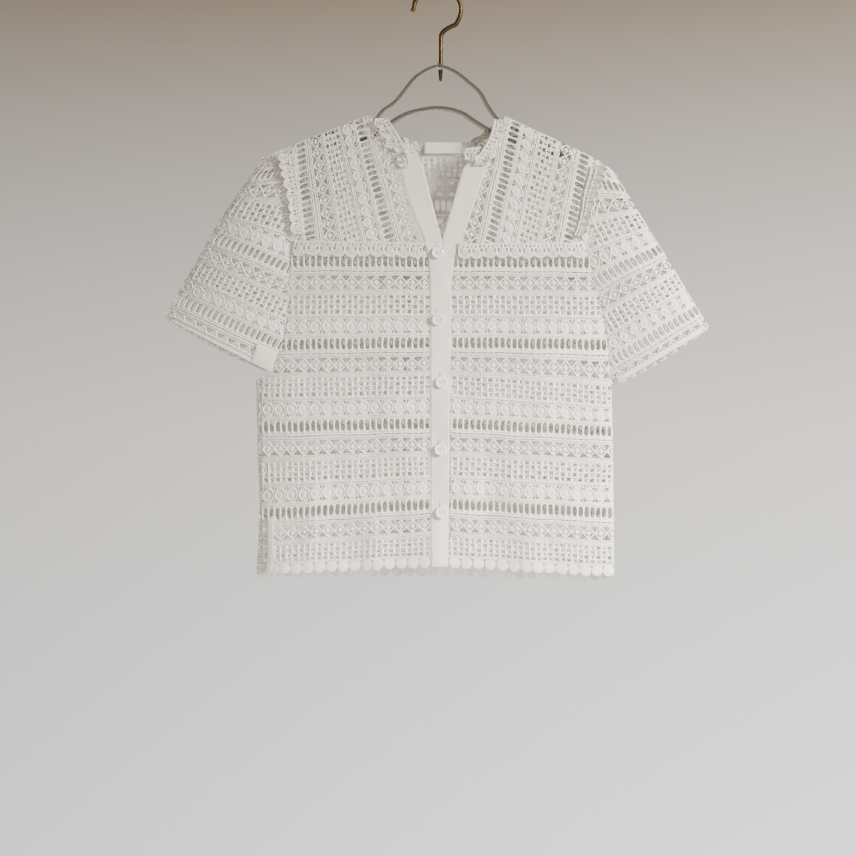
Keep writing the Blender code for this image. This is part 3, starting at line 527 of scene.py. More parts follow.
# %% Repeating a flat unit
def shape_numbers(bm):
    """For each vertex, the number of the closed shape that it belongs to."""
    bm.verts.index_update()
    numbers = [-1] * len(bm.verts)
    count = 0
    for seed in bm.verts:
        if numbers[seed.index] >= 0:
            continue
        reached = [seed]
        numbers[seed.index] = count
        while reached:
            for edge in reached.pop().link_edges:
                for vert in edge.verts:
                    if numbers[vert.index] < 0:
                        numbers[vert.index] = count
                        reached.append(vert)
        count += 1
    return np.array(numbers), count


def flat_unit(name, bm):
    """A flat pattern unit: its mesh in millimetres and the shape number of every vertex."""
    bmesh.ops.recalc_face_normals(bm, faces=bm.faces)
    numbers, count = shape_numbers(bm)
    print(f"{name}: {count} shapes, {count_triangles(bm)} triangles")
    return {"mesh": as_mesh(name, bm), "numbers": numbers, "count": count}


def read_points(mesh):
    flat = np.empty(len(mesh.vertices) * 3, dtype=np.float32)
    mesh.vertices.foreach_get("co", flat)
    return flat.reshape(-1, 3).astype(float)


def read_numbers(items, name):
    numbers = np.empty(len(items), dtype=np.int32)
    items.foreach_get(name, numbers)
    return numbers


def tiled(unit, along, down, pitch, repeat, welded=False):
    """Mesh of the unit repeated over ranges of whole repeats, its vertices, and a shape number for each."""
    source = linked("tiles", unit["mesh"])
    for (first, last), step in ((along, Vector((pitch, 0, 0))), (down, Vector((0, repeat, 0)))):
        array = source.modifiers.new("repeat", "ARRAY")
        array.use_relative_offset = False
        array.use_constant_offset = True
        array.constant_offset_displace = step
        array.count = last - first
        array.use_merge_vertices = welded
        array.merge_threshold = 0.01
    mesh = evaluated(source)
    flat = read_points(mesh) + (along[0] * pitch, down[0] * repeat, 0.0)
    own = len(unit["numbers"])
    index = np.arange(len(flat))
    return mesh, flat, index // own * unit["count"] + unit["numbers"][index % own]


def hand_work(flat, size=0.35):
    """Small smooth shifts that keep the stitched pattern from looking machined."""
    x, y = flat[:, 0], flat[:, 1]
    shift_x = np.sin(y / 9.1 + 1.3 * np.sin(x / 23.0)) + 0.6 * np.sin(x / 5.3 + y / 13.7)
    shift_y = np.sin(x / 11.3 + 1.1 * np.sin(y / 31.0)) + 0.6 * np.sin(x / 4.7 - y / 7.9)
    return flat + np.stack([size * shift_x, size * shift_y, np.zeros(len(flat))], axis=-1)


# %% [markdown]
# Laying flat lace on the form needs the surface's direction at each point. It is measured from two
# neighbouring places on the form, so that the same function works for the body, the yokes and the sleeves.

# %% Laying a flat mesh on a form
def on_form(form, flat, reach=0.25):
    """Points at flat x and y on a form, moved out by the relief z along the form's own direction."""
    x, y, relief = flat.T
    point = form(x, y)
    along = form(x + reach, y) - form(x - reach, y)
    down = form(x, y + reach) - form(x, y - reach)
    normal = np.cross(along, down)
    length = np.linalg.norm(normal, axis=-1, keepdims=True)
    normal = np.where(length > 1e-6, normal / np.maximum(length, 1e-6), (0.0, -1.0, 0.0))
    outward = np.sign(point[:, 1:2])
    facing = np.where(normal[:, 1:2] * outward < 0.0, -normal, normal)
    return point + facing * relief[:, None]


def add_piece(name, bm, material, smooth_degrees=None):
    """Object at the origin from a bmesh in millimetres, with its flat UV map kept."""
    bmesh.ops.scale(bm, vec=(MM, MM, MM), verts=bm.verts)
    mesh = as_mesh(name, bm)
    mesh.materials.append(material)
    if smooth_degrees:
        mesh.shade_smooth()
        mesh.set_sharp_from_angle(angle=math.radians(smooth_degrees))
    return linked(name, mesh)


def lay(mesh, flat, points):
    """Move a mesh to its points, with a UV map in metres along and down the flat cloth for the patterns."""
    corners = read_numbers(mesh.loops, "vertex_index")
    layer = mesh.uv_layers.new(name="flat")
    layer.data.foreach_set("uv", (flat[corners, :2] * MM).astype(np.float32).ravel())
    mesh.vertices.foreach_set("co", points.astype(np.float32).ravel())


def laid_panel(unit, span, form, inside, pitch, repeat, welded):
    """Mesh of a flat unit repeated over one panel, laid on its form and cut to its outline."""
    mesh, flat, shapes = tiled(unit, *span, pitch, repeat, welded)
    flat = hand_work(flat)
    kept = inside(flat[:, 0], flat[:, 1])
    if not welded:
        kept = (np.bincount(shapes, weights=kept) > 0)[shapes]
    lay(mesh, flat, on_form(form, flat))
    corners = read_numbers(mesh.loops, "vertex_index")
    starts = read_numbers(mesh.polygons, "loop_start")
    outside = np.flatnonzero(np.maximum.reduceat(kept[corners].astype(int), starts) == 0)
    bm = bmesh.new()
    take_in(bm, mesh)
    bm.faces.ensure_lookup_table()
    bmesh.ops.delete(bm, geom=[bm.faces[k] for k in outside], context="FACES")
    bmesh.ops.remove_doubles(bm, verts=bm.verts, dist=0.01)
    return as_mesh("panel", bm)


def laid_mesh(unit, span, panels, pitch, repeat, welded):
    """Bmesh of a flat unit laid on every panel. A panel has its form and the outline it is cut to."""
    bm = bmesh.new()
    for form, inside in panels:
        take_in(bm, laid_panel(unit, span, form, inside, pitch, repeat, welded))
    return bm


def face_outward(bm):
    """Turn the faces of an open sheet away from the plane of the hanger."""
    bm.normal_update()
    inward = [face for face in bm.faces if face.normal.y * face.calc_center_median().y < 0.0]
    bmesh.ops.reverse_faces(bm, faces=inward)


def sew_on(piece, slot, *nodes):
    """The piece rides on the jacket's one body and stands for its solids. The slot is not used."""
    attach(piece, "root")
    if nodes:
        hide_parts(*nodes)


lace_units = {"ground": ground_repeat(), "raised": raised_repeat()}


def lace_pieces(name, span, panels, *nodes, units=lace_units, pitch=PITCH):
    """The ground and the raised stitching of a lace piece, each an object that stands for the nodes."""
    ground = laid_mesh(units["ground"], span, panels, pitch, REPEAT, True)
    face_outward(ground)
    ground_count = count_triangles(ground)
    web = add_piece(f"{name}_ground", ground, lace_finish, 60.0)
    wall = web.modifiers.new("web thickness", "SOLIDIFY")
    wall.thickness = GROUND_WALL * MM
    wall.offset = 0.0
    raised = laid_mesh(units["raised"], span, panels, pitch, REPEAT, False)
    bmesh.ops.recalc_face_normals(raised, faces=raised.faces)
    print(f"{name}: ground {2 * ground_count} and stitching {count_triangles(raised)} triangles")
    stitching = add_piece(f"{name}_stitching", raised, lace_finish, 50.0)
    for piece in (web, stitching):
        sew_on(piece, "lace", *nodes)
    return [web, stitching]


# %% [markdown]
# ## Lower fronts
# Each lower front is one pattern piece from the yoke seam to the hem. Its rows sag a little towards the
# side seam, because the side hangs lower than the button edge. A short table gives the height of the same
# row at both edges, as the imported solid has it, and the lace follows it.

# %% The fronts' rows and outline
LADDER_TOP_Z = -321.0
FRONT_ROWS = {
    "right": [(-316.1, -313.7), (-335.3, -334.1), (-373.7, -373.7), (-431.3, -433.7), (-466.1, -469.7),
              (-526.7, -531.5), (-621.5, -635.3), (-677.3, -687.0)],
    "left": [(-317.3, -316.1), (-335.3, -335.9), (-361.7, -362.9), (-431.3, -433.7), (-471.5, -485.3),
             (-526.7, -536.3), (-622.7, -634.7), (-677.3, -689.3)],
}
NECK_EDGE = {
    "right": [(84.0, -151.7), (66.0, -176.0), (52.0, -198.0), (40.0, -253.0), (20.0, -301.0), (13.8, -326.0)],
    "left": [(76.8, -152.9), (68.0, -176.0), (60.0, -204.0), (37.2, -272.0), (24.0, -308.0), (16.8, -326.0)],
}
PLACKET = [(-326.0, 13.8, 16.8), (-361.7, 12.0, 13.2), (-692.0, 10.8, 9.4)]


def edge_out(side, z):
    return table(EDGE[side], z, 1)


def opening_edge(side, z):
    neck = table(NECK_EDGE[side], z, 0, 1)
    return np.where(z >= PLACKET[0][0], neck, table(PLACKET, z, line_of(side)))


def front_form(side):
    sign, rows = SIDE_SIGN[side], FRONT_ROWS[side]
    inner = PLACKET[1][line_of(side)]

    def form(along, down):
        inner_z = np.clip(LADDER_TOP_Z - down, rows[-1][0], rows[0][0] - SEAM)
        outer_z = table(rows, inner_z, 1)
        share = along / (edge_out(side, outer_z) - inner)
        z = between(inner_z, outer_z, np.clip(share, 0.0, 1.0))
        out = np.clip(inner + along, opening_edge(side, z) + SEAM, edge_out(side, z) - SEAM / 2)
        return body_point(MIDDLE_X + sign * out, z, "front")

    def inside(along, down):
        inner_z = LADDER_TOP_Z - down
        outer_z = table(rows, inner_z, 1)
        tall = (inner_z < rows[0][0]) & (inner_z > rows[-1][0])
        return tall & (along > 0.0) & (inner + along < edge_out(side, outer_z) - 1.0)

    return form, inside


for side in SIDE_SIGN:
    span = ((-1, 16), (-1, 4))
    lace_pieces(f"lace_front_{side}", span, [front_form(side)], f"front_{side}")

# %% [markdown]
# ## Back
# The back is one piece from the shoulders to the hem, so its rows start at the middle and sag to both
# sides. Its top edge follows the neckline, a flat-bottomed scoop, and then the shoulder lines.

# %% The back's rows and outline
# columns: height at the middle, at the right edge, at the left edge
BACK_ROWS = [
    (-140.0, -140.0, -140.0), (-262.7, -262.7, -262.7), (-362.9, -362.3, -362.9), (-431.9, -433.7, -433.7),
    (-469.7, -469.7, -485.3), (-551.9, -555.5, -557.9), (-650.3, -656.3, -656.3), (-690.5, -691.7, -695.3),
]
BACK_LADDER_Z = -250.0
BACK_NECK_DROP = 41.0
BACK_NECK_BOX = 2.6


def back_top(x):
    """Height of the back's top edge."""
    signed = x - MIDDLE_X
    out = np.abs(signed)
    heights = []
    for side, line in SHOULDER.items():
        scoop = BACK_NECK_DROP * (1.0 - np.minimum(out / line["neck_out"], 1.0) ** BACK_NECK_BOX)
        heights.append(np.where(out >= line["neck_out"], shoulder_height(side, out), line["neck_z"] - scoop))
    return by_side(signed, *heights)


def back_form():
    def place(along, down):
        middle_z = np.clip(BACK_LADDER_Z - down, BACK_ROWS[-1][0], BACK_ROWS[0][0])
        edge_z = by_side(along, table(BACK_ROWS, middle_z, 1), table(BACK_ROWS, middle_z, 2))
        edge = by_side(along, edge_out("right", edge_z), edge_out("left", edge_z))
        z = between(middle_z, edge_z, np.clip(np.abs(along) / edge, 0.0, 1.0))
        return edge, z

    def form(along, down):
        _, z = place(along, down)
        edge = by_side(along, edge_out("right", z), edge_out("left", z)) - SEAM / 2
        x = MIDDLE_X + np.clip(along, -edge, edge)
        return body_point(x, np.minimum(z, back_top(x)), "back")

    def inside(along, down):
        edge, z = place(along, down)
        tall = (BACK_LADDER_Z - down > BACK_ROWS[-1][0]) & (z < back_top(MIDDLE_X + along) - 0.5)
        return tall & (np.abs(along) < edge - 1.0)

    return form, inside


lace_pieces("lace_back", ((-16, 16), (-2, 5)), [back_form()], "back")

# %% [markdown]
# ## Yokes
# On the shoulders the same lace is cut sideways, so its rows run up and down and lean with the V of the
# neck. The repeat is laid out along lines from the shoulder to the yoke seam. Where a pitch of the lace
# goes, from the armhole to the neck, comes from where its two ladders show.

# %% The yokes' rows and outline
# Distance out of the rows at the shoulder and at the lower seam, at the outer and at the inner ladder's start
YOKE_ROWS = {
    "right": {"top": (173.0, 103.0), "bottom": (160.0, 63.0)},
    "left": {"top": (179.0, 97.0), "bottom": (157.0, 63.0)},
}
YOKE_LADDER = 2.0


def yoke_form(side):
    sign, rows, seam = SIDE_SIGN[side], YOKE_ROWS[side], FRONT_ROWS[side][0]
    edge = edge_out(side, seam[1])

    def place(along, down):
        share = (down - YOKE_LADDER) / REPEAT
        top_out, bottom_out = between(*rows["top"], share), between(*rows["bottom"], share)
        top_z = shoulder_height(side, top_out)
        bottom_z = between(*seam, bottom_out / edge) + SEAM
        length = np.hypot(top_out - bottom_out, top_z - bottom_z)
        return top_out, bottom_out, top_z, bottom_z, along / length

    def form(along, down):
        top_out, bottom_out, top_z, bottom_z, share = place(along, down)
        share = np.clip(share, 0.0, 1.0)
        z = between(top_z, bottom_z, share)
        low, high = opening_edge(side, z) + SEAM / 2, edge_out(side, z) - SEAM / 2
        out = np.clip(between(top_out, bottom_out, share), low, high)
        z = np.minimum(z, shoulder_height(side, out))
        return body_point(MIDDLE_X + sign * out, z, "front")

    def inside(along, down):
        top_out, bottom_out, top_z, bottom_z, share = place(along, down)
        out, z = between(top_out, bottom_out, share), between(top_z, bottom_z, share)
        wide = (out > opening_edge(side, z) + 0.5) & (out < edge_out(side, z) - 0.5)
        return wide & (share > 0.0) & (share < 1.0)

    return form, inside


for side in SIDE_SIGN:
    span = ((-1, 12), (-1, 2))
    lace_pieces(f"lace_yoke_{side}", span, [yoke_form(side)], f"yoke_{side}")

# %% [markdown]
# ## Sleeves
# A short sleeve is a tube cut in one piece, folded along its top by the flat hanger. Its rows run parallel
# to the cuff. The front and the back half share their rows, measured inwards from the fold, so that the
# pattern meets itself there. Both halves are one cloth piece that stands for both solids.

# %% The sleeves' rows and outline
# columns: distance out, height
SLEEVE_FOLD = {
    "right": [(210.0, -200.3), (226.8, -225.5), (244.8, -248.9), (262.8, -276.5), (279.6, -304.1),
              (309.0, -356.9), (331.2, -394.1)],
    "left": [(207.6, -218.9), (228.7, -253.7), (248.4, -285.5), (270.0, -319.7), (295.2, -361.7),
             (323.4, -407.3)],
}
# columns: distance from the cuff along the fold, height of that row at the armhole
SLEEVE_ROWS = {
    "right": [(181.0, -235.0), (121.0, -326.9), (79.0, -373.7), (36.0, -420.5), (22.0, -433.7),
              (0.0, -461.3)],
    "left": [(181.0, -255.0), (141.0, -316.1), (103.0, -362.9), (53.0, -420.5), (26.0, -450.0),
             (0.0, -478.1)],
}
SLEEVE_DEPTH = 13.0
CUFF_DROP = {"front": 0.0, "back": 6.0}
CUFF_ROW = 39.0
SLEEVE_TIGHTNESS = 0.885
SLEEVE_CREASE = 0.9
SLEEVE_WAVE = 19.0
# the creases fade out over this distance towards the cuff
SLEEVE_SMOOTH = 60.0
# height below the shoulder by which a sleeve has its whole depth, and the cuff's last stretch that hangs free
SLEEVE_FILL = 120.0
CUFF_FREE = 30.0


def fold_point(side, from_cuff):
    """Distance out and height on the sleeve's fold, at distances from the cuff."""
    points = SLEEVE_FOLD[side][::-1]
    steps = [0.0, *np.cumsum([math.dist(a, b) for a, b in zip(points, points[1:])])]
    outs, heights = zip(*points)
    return np.interp(from_cuff, steps, outs), np.interp(from_cuff, steps, heights), steps[-1]


def armhole_height(side, from_cuff):
    top = (fold_point(side, 0.0)[2], SHOULDER[side]["end_z"])
    distances, heights = zip(*([top] + SLEEVE_ROWS[side])[::-1])
    return np.interp(from_cuff, distances, heights)


def sleeve_point(side, face, share, from_cuff, lift=0.0):
    """Points on half a sleeve. share is 0 at the armhole and 1 at the fold."""
    fold_out, fold_z, length = fold_point(side, from_cuff)
    arm_z = armhole_height(side, from_cuff)
    arm_out = edge_out(side, arm_z) + SEAM / 2
    seam_depth = stand_off(MIDDLE_X + SIDE_SIGN[side] * arm_out, arm_z, face)
    bulge = 4.0 * share * (1.0 - share)
    belly = bulge * SLEEVE_DEPTH * np.minimum(1.0, (SLEEVE_FOLD[side][0][1] - fold_z) / SLEEVE_FILL)
    wave = SLEEVE_CREASE * bulge * np.sin(from_cuff / SLEEVE_WAVE + 5.0 * share)
    crease = wave * np.minimum(from_cuff / SLEEVE_SMOOTH, 1.0)
    round_off = np.sqrt(np.maximum(1.0 - share ** 3, 0.0))
    depth = np.maximum(seam_depth * round_off + 0.5 * belly + crease, SEAM / 2)
    depth = np.where(from_cuff >= length - 0.01, SEAM / 2, depth)
    drop = CUFF_DROP[face] * np.maximum(0.0, 1.0 - from_cuff / CUFF_FREE) * bulge
    out, z = between(arm_out, fold_out, share), between(arm_z, fold_z, share) - drop
    return np.stack([MIDDLE_X + SIDE_SIGN[side] * out, FACE_SIGN[face] * (depth + lift), z], axis=-1)


def row_width(side, from_cuff):
    fold_out, fold_z, _ = fold_point(side, from_cuff)
    arm_z = armhole_height(side, from_cuff)
    return np.hypot(fold_out - edge_out(side, arm_z), fold_z - arm_z)


def sleeve_form(side, face):
    length = fold_point(side, 0.0)[2]

    def form(along, down):
        from_cuff = np.clip((CUFF_ROW - down) * SLEEVE_TIGHTNESS, 0.0, length)
        share = np.clip(1.0 - along / row_width(side, from_cuff), 0.0, 1.0)
        return sleeve_point(side, face, share, from_cuff)

    def inside(along, down):
        from_cuff = (CUFF_ROW - down) * SLEEVE_TIGHTNESS
        share = 1.0 - along / row_width(side, np.clip(from_cuff, 0.0, length))
        return (from_cuff > 0.0) & (from_cuff < length - 1.0) & (share > 0.005) & (share < 1.0)

    return form, inside


for side in SIDE_SIGN:
    halves = [sleeve_form(side, face) for face in FACE_SIGN]
    nodes = [f"sleeve_{side}_{face}" for face in FACE_SIGN]
    lace_pieces(f"lace_sleeve_{side}", ((-1, 12), (-3, 1)), halves, *nodes)

# %% [markdown]
# ## Scalloped edgings
# Two kinds of edging are sewn on by the metre. The hem has a row of solid discs that hang from a pair of
# cords. The yoke seams, the armholes and the neck have a narrow frill of shells: threads fan out from a
# cord to a scalloped edge. Each is one flat unit, repeated along a line, so it follows any edge of the
# jacket.

# %% The hem's disc and the frill's shell
DISC = 13.4
DISC_DROP = 8.6
TRIM_PITCH = 14.0
SHELL_DEPTH = 16.0
SHELL_SCALLOP = 3.6
FAN = 6


def hem_unit():
    bm = bmesh.new()
    stitched_pad(bm, (TRIM_PITCH / 2, DISC_DROP), (DISC, DISC), 20, height=1.5, crown=0.8)
    for y, width in ((0.9, 1.7), (2.6, 1.5)):
        cord(bm, y, width, 1.6, TRIM_PITCH)
    thread_bar(bm, (0.0, 0.6), (0.0, 3.6), 2.6, 1.2)
    return flat_unit("hem disc", bm)


def shell_edge(x):
    """Depth of the frill's scalloped edge at a place along one shell."""
    return SHELL_DEPTH - SHELL_SCALLOP * (1.0 - abs(math.sin(math.pi * x / TRIM_PITCH)))


def shell_unit():
    bm = bmesh.new()
    rim = [(k / FAN * TRIM_PITCH, shell_edge(k / FAN * TRIM_PITCH) - 1.0) for k in range(FAN + 1)]
    for start, end in zip(rim, rim[1:]):
        thread_bar(bm, start, end, 2.0, 2.8)
    for x, y in rim[1:-1]:
        thread_bar(bm, (between(TRIM_PITCH / 2, x, 0.3), 5.2), (x, y), 1.3, 2.2)
    for k in range(3):
        x = (k + 0.5) / 3 * TRIM_PITCH
        thread_bar(bm, (x, 0.8), (x, 5.4), 1.4, 1.6)
    thread_bar(bm, (0.0, 0.8), (0.0, rim[0][1]), 1.4, 1.8)
    for y, width in ((0.9, 1.8), (5.2, 1.6)):
        cord(bm, y, width, 2.4, TRIM_PITCH)
    return flat_unit("frill shell", bm)


def shell_ground():
    """Web of one shell: a scalloped lower edge, eyelets under the first cord and slits in the fan."""
    columns, rows = 9, 6
    bm = bmesh.new()
    bmesh.ops.create_grid(bm, x_segments=columns, y_segments=rows, size=0.5)
    holes = []
    for face in bm.faces:
        middle = face.calc_center_median()
        i, j = int((middle.x + 0.5) * columns), int((middle.y + 0.5) * rows)
        if (j == 1 and i % 3 == 0) or (j in (2, 3) and i in (1, 3, 5, 7)):
            holes.append(face)
    for vert in bm.verts:
        x = (vert.co.x + 0.5) * TRIM_PITCH
        vert.co = (x, (vert.co.y + 0.5) * (shell_edge(x) - 0.6), 0.0)
    bmesh.ops.delete(bm, geom=holes, context="FACES")
    return flat_unit("frill web", bm)


disc_unit = hem_unit()
shell_units = {"ground": shell_ground(), "raised": shell_unit()}


def strip_outline(count):
    """Outline of a trim that has a number of repeats and no other cut."""
    return lambda along, down: (along > -0.01) & (along < count * TRIM_PITCH + 0.01)


# %% [markdown]
# The hem discs follow the lower edges of the fronts and of the back. Their pitch is stretched a little so
# that whole discs fit between the seams, as a maker would ease the trim in.

# %% Hem edging
HEM_DISCS = {"right": 15, "left": 14}


def hem_form(side, face):
    """Form of the hem edging on a front, or on one half of the back."""
    sign, count = SIDE_SIGN[side], HEM_DISCS[side]
    if face == "front":
        inner = float(opening_edge(side, FRONT_ROWS[side][-1][0])) + SEAM
        inner_z, outer_z = FRONT_ROWS[side][-1]
    else:
        inner = 0.0
        inner_z, outer_z = BACK_ROWS[-1][0], BACK_ROWS[-1][line_of(side)]
    outer = float(edge_out(side, outer_z)) - SEAM / 2
    stretch = (outer - inner) / (count * TRIM_PITCH)

    def form(along, down):
        out = np.clip(inner + along * stretch, inner, outer)
        top = between(inner_z, outer_z, (out - inner) / (outer - inner))
        return body_point(MIDDLE_X + sign * out, top - SEAM - down, face)

    return form


def hem_edging(name, face, *sides):
    """Discs along the hem of a front, or of both halves of the back."""
    bm = bmesh.new()
    for side in sides:
        count, form = HEM_DISCS[side], hem_form(side, face)
        span = ((0, count), (0, 1))
        take_in(bm, laid_panel(disc_unit, span, form, strip_outline(count), TRIM_PITCH, REPEAT, False))
    bmesh.ops.recalc_face_normals(bm, faces=bm.faces)
    print(f"hem_discs_{name}: {count_triangles(bm)} triangles")
    piece = add_piece(f"hem_discs_{name}", bm, lace_finish, 50.0)
    sew_on(piece, "lace", f"hem_{name}")
    return piece


hems = {side: hem_edging(side, "front", side) for side in SIDE_SIGN}
hems["back"] = hem_edging("back", "back", *SIDE_SIGN)

# %% [markdown]
# A frill's form is a short route of places along its sewn edge and its free edge, with how far each stands
# off the cloth. Small gathers grow towards the free edge, because the sewn edge is held flat by its seam.

# %% Frills and yoke trims
# columns: free edge out, sewn edge out, height, lift of the free edge, lift of the sewn edge
SHOULDER_FRILLS = {
    "right": [(196.0, 172.0, -200.0, 7.0, 2.1), (190.0, 171.0, -226.0, 6.5, 2.1),
              (181.0, 168.0, -262.0, 6.0, 2.1), (178.0, 163.0, -296.0, 5.5, 2.1)],
    "left": [(202.0, 180.0, -214.0, 8.5, 2.1), (194.0, 173.0, -240.0, 7.5, 2.1),
             (181.0, 168.0, -272.0, 6.5, 2.1), (175.0, 160.0, -298.0, 5.5, 2.1)],
}
NECK_FRILLS = {
    "right": [(82.0, 62.0, -158.0, 5.0, 6.0), (72.0, 50.0, -178.0, 4.0, 7.0),
              (58.0, 40.0, -200.0, 3.0, 6.0), (50.0, 36.0, -216.0, 2.6, 4.0)],
    "left": [(80.0, 64.0, -160.0, 6.0, 7.0), (78.0, 60.0, -180.0, 4.0, 8.0),
             (66.0, 46.0, -202.0, 3.0, 7.0), (56.0, 40.0, -214.0, 2.6, 4.0)],
}
# The neck frill's folded end over the top of a band. columns: out, height, drop, lift of its free edge
FRILL_ENDS = {"right": [(56.0, -184.0, 15.0, 7.0), (33.0, -190.0, 13.0, 8.5)],
              "left": [(66.0, -189.0, 19.0, 8.0), (29.0, -194.0, 17.0, 11.0)]}
END_LIFT = 2.6
GATHER = 1.5
GATHER_LENGTH = 11.0
# the folded end is gathered more, in longer waves
END_GATHER = 1.6
END_WAVE = 1.3
YOKE_TRIM = {"inner_out": 21.0, "past_edge": 4.0, "above_seam": 10.0, "depth": 19.0, "clear": 0.6,
             "hang": 0.8, "ripple": 0.3, "ripple_length": 6.0}
# columns: name of the edging, node that it stands for, number of shells
TRIMS = {"yoke": ("yoke_edging", "yoke_trim", 10), "shoulder": ("shoulder_edging", "shoulder_frill", 8),
         "neck": ("neck_edging", "neck_frill", 5), "neck_end": ("neck_edging_end", "neck_frill", 2)}


def trim_share(along, shells):
    """Share of the way along a trim with a number of shells."""
    return np.clip(along / (shells * TRIM_PITCH), 0.0, 1.0)


def gathers(along, part, more=1.0, longer=1.0):
    """Waves along a frill. part is 0 at its sewn edge and 1 at its free edge."""
    return more * GATHER * np.sin(2.0 * np.pi * along / (longer * GATHER_LENGTH)) * part


def frill_form(side, route, shells):
    """Form of a frill on the front."""
    sign = SIDE_SIGN[side]
    rows = np.linspace(0.0, 1.0, len(route))
    columns = [np.array(column) for column in zip(*route)]

    def form(along, down):
        share = trim_share(along, shells)
        free, sewn, z, free_lift, sewn_lift = (np.interp(share, rows, column) for column in columns)
        part = np.clip(down / SHELL_DEPTH, 0.0, 1.0)
        base = stand_off(MIDDLE_X + sign * sewn, z, "front", creased=False)
        lift = between(sewn_lift, free_lift, part) + gathers(along, part)
        return np.stack([MIDDLE_X + sign * between(sewn, free, part), -(base + lift), z], axis=-1)

    return form


def frill_end_form(side, shells):
    """Form of the frill's end, which is sewn along the top of a band and falls over it."""
    columns = [np.array(column) for column in zip(*FRILL_ENDS[side])]

    def form(along, down):
        share = trim_share(along, shells)
        part = np.clip(down / SHELL_DEPTH, 0.0, 1.0)
        out, top, drop, free_lift = (between(column[0], column[1], share) for column in columns)
        x = MIDDLE_X + SIDE_SIGN[side] * out
        lift = between(END_LIFT, free_lift, part) + gathers(along, part, END_GATHER, END_WAVE)
        return np.stack([x, -(stand_off(x, top, "front", creased=False) + lift), top - drop * part], axis=-1)

    return form


def yoke_trim_form(side, shells):
    inner_z, outer_z = FRONT_ROWS[side][0]
    inner, outer = YOKE_TRIM["inner_out"], float(edge_out(side, outer_z)) - YOKE_TRIM["past_edge"]
    lift = (LACE_WALL + TRIM_WALL) / 2 + YOKE_TRIM["clear"]

    def form(along, down):
        share = trim_share(along, shells)
        x = MIDDLE_X + SIDE_SIGN[side] * between(inner, outer, share)
        seam_z = between(inner_z, outer_z, share)
        z = seam_z + YOKE_TRIM["above_seam"] - down * YOKE_TRIM["depth"] / SHELL_DEPTH
        ripple = YOKE_TRIM["ripple"] * np.sin(along / YOKE_TRIM["ripple_length"]) * down / SHELL_DEPTH
        ease = lift + YOKE_TRIM["hang"] * down / SHELL_DEPTH + ripple
        return np.stack([x, -(stand_off(x, z, "front") + ease), z], axis=-1)

    return form


def frill(name, form, shells, node_name):
    """Frill with a number of shells along a form."""
    panels = [(form, strip_outline(shells))]
    return lace_pieces(name, ((0, shells), (0, 1)), panels, node_name, units=shell_units, pitch=TRIM_PITCH)


def trim_form(kind, side, shells):
    """Form of one kind of trim on one side."""
    routes = {"shoulder": SHOULDER_FRILLS, "neck": NECK_FRILLS}
    if kind in routes:
        return frill_form(side, routes[kind][side], shells)
    own_form = {"yoke": yoke_trim_form, "neck_end": frill_end_form}[kind]
    return own_form(side, shells)


for side in SIDE_SIGN:
    for kind, (edging, node_name, shells) in TRIMS.items():
        form = trim_form(kind, side, shells)
        frill(f"{edging}_{side}", form, shells, f"{node_name}_{side}")

# %% Back neck frill
BACK_FRILL = {"reach": 62.0, "height": 8.0, "below_top": 5.0, "shells": 9}


def back_frill_form(along, down):
    share = trim_share(along, BACK_FRILL["shells"])
    x = MIDDLE_X + BACK_FRILL["reach"] * (2.0 * share - 1.0)
    z = back_top(x)
    part = down / SHELL_DEPTH
    base = stand_off(x, z - BACK_FRILL["below_top"], "back", creased=False)
    return np.stack([x, base + gathers(along, part), z + SEAM + BACK_FRILL["height"] * part], axis=-1)


frill("neck_edging_back", back_frill_form, BACK_FRILL["shells"], "neck_frill_back")

# %% [markdown]
# ## Woven parts: placket, neck bands, cuff tapes and label
# The placket and the bands are plain cotton, smooth beside the lace. A plain weave has a thread over and
# under at about 0.35 mm, too fine for the full view, so the bump shows it three times coarser. The satin
# label has long floats that catch light, so it is smoother. Each part is a grid laid on the form, with a
# Solidify modifier for the folded cloth's thickness and a small Bevel modifier for its turned edges.

# %% Woven finishes
WEAVE = 1.1
PUCKER = 9.0
FLOATS = 0.8


def woven_cotton():
    material, tree, shader = finish("plain-woven cotton, white", "EDEAE5", 0.78,
                                    Sheen_Weight=0.2, Sheen_Roughness=0.5)
    flat = flat_place(tree)
    threads = {k: fine_lines(tree, flat, WEAVE, bands_direction=axis) for k, axis in enumerate("XY")}
    weave = node(tree, "ShaderNodeMath", threads, operation="MULTIPLY").outputs[0]
    pucker = noise(tree, flat, PUCKER, 1.0)
    normal = bump_normal(tree, weave, 0.3, 0.15, Normal=bump_normal(tree, pucker, 0.5, 0.8))
    connect(tree, shader, Base_Color=mixed(tree, pucker, "E3DFD8", "D8D2C8"), Normal=normal)
    return material


def satin_ribbon():
    material, tree, shader = finish("satin-woven ribbon, off-white", "E0DCD5", 0.42,
                                    Sheen_Weight=0.1, Anisotropic=0.4)
    floats = fine_lines(tree, flat_place(tree), FLOATS, {"Distortion": 0.6}, bands_direction="Y")
    connect(tree, shader, Normal=bump_normal(tree, floats, 0.2, 0.1))
    return material


cotton_finish = woven_cotton()
satin_finish = satin_ribbon()


# %% A woven part laid on a form
# widest cell of a woven part's grid, across and along
CELL = 3.0
LONG_CELL = 6.0


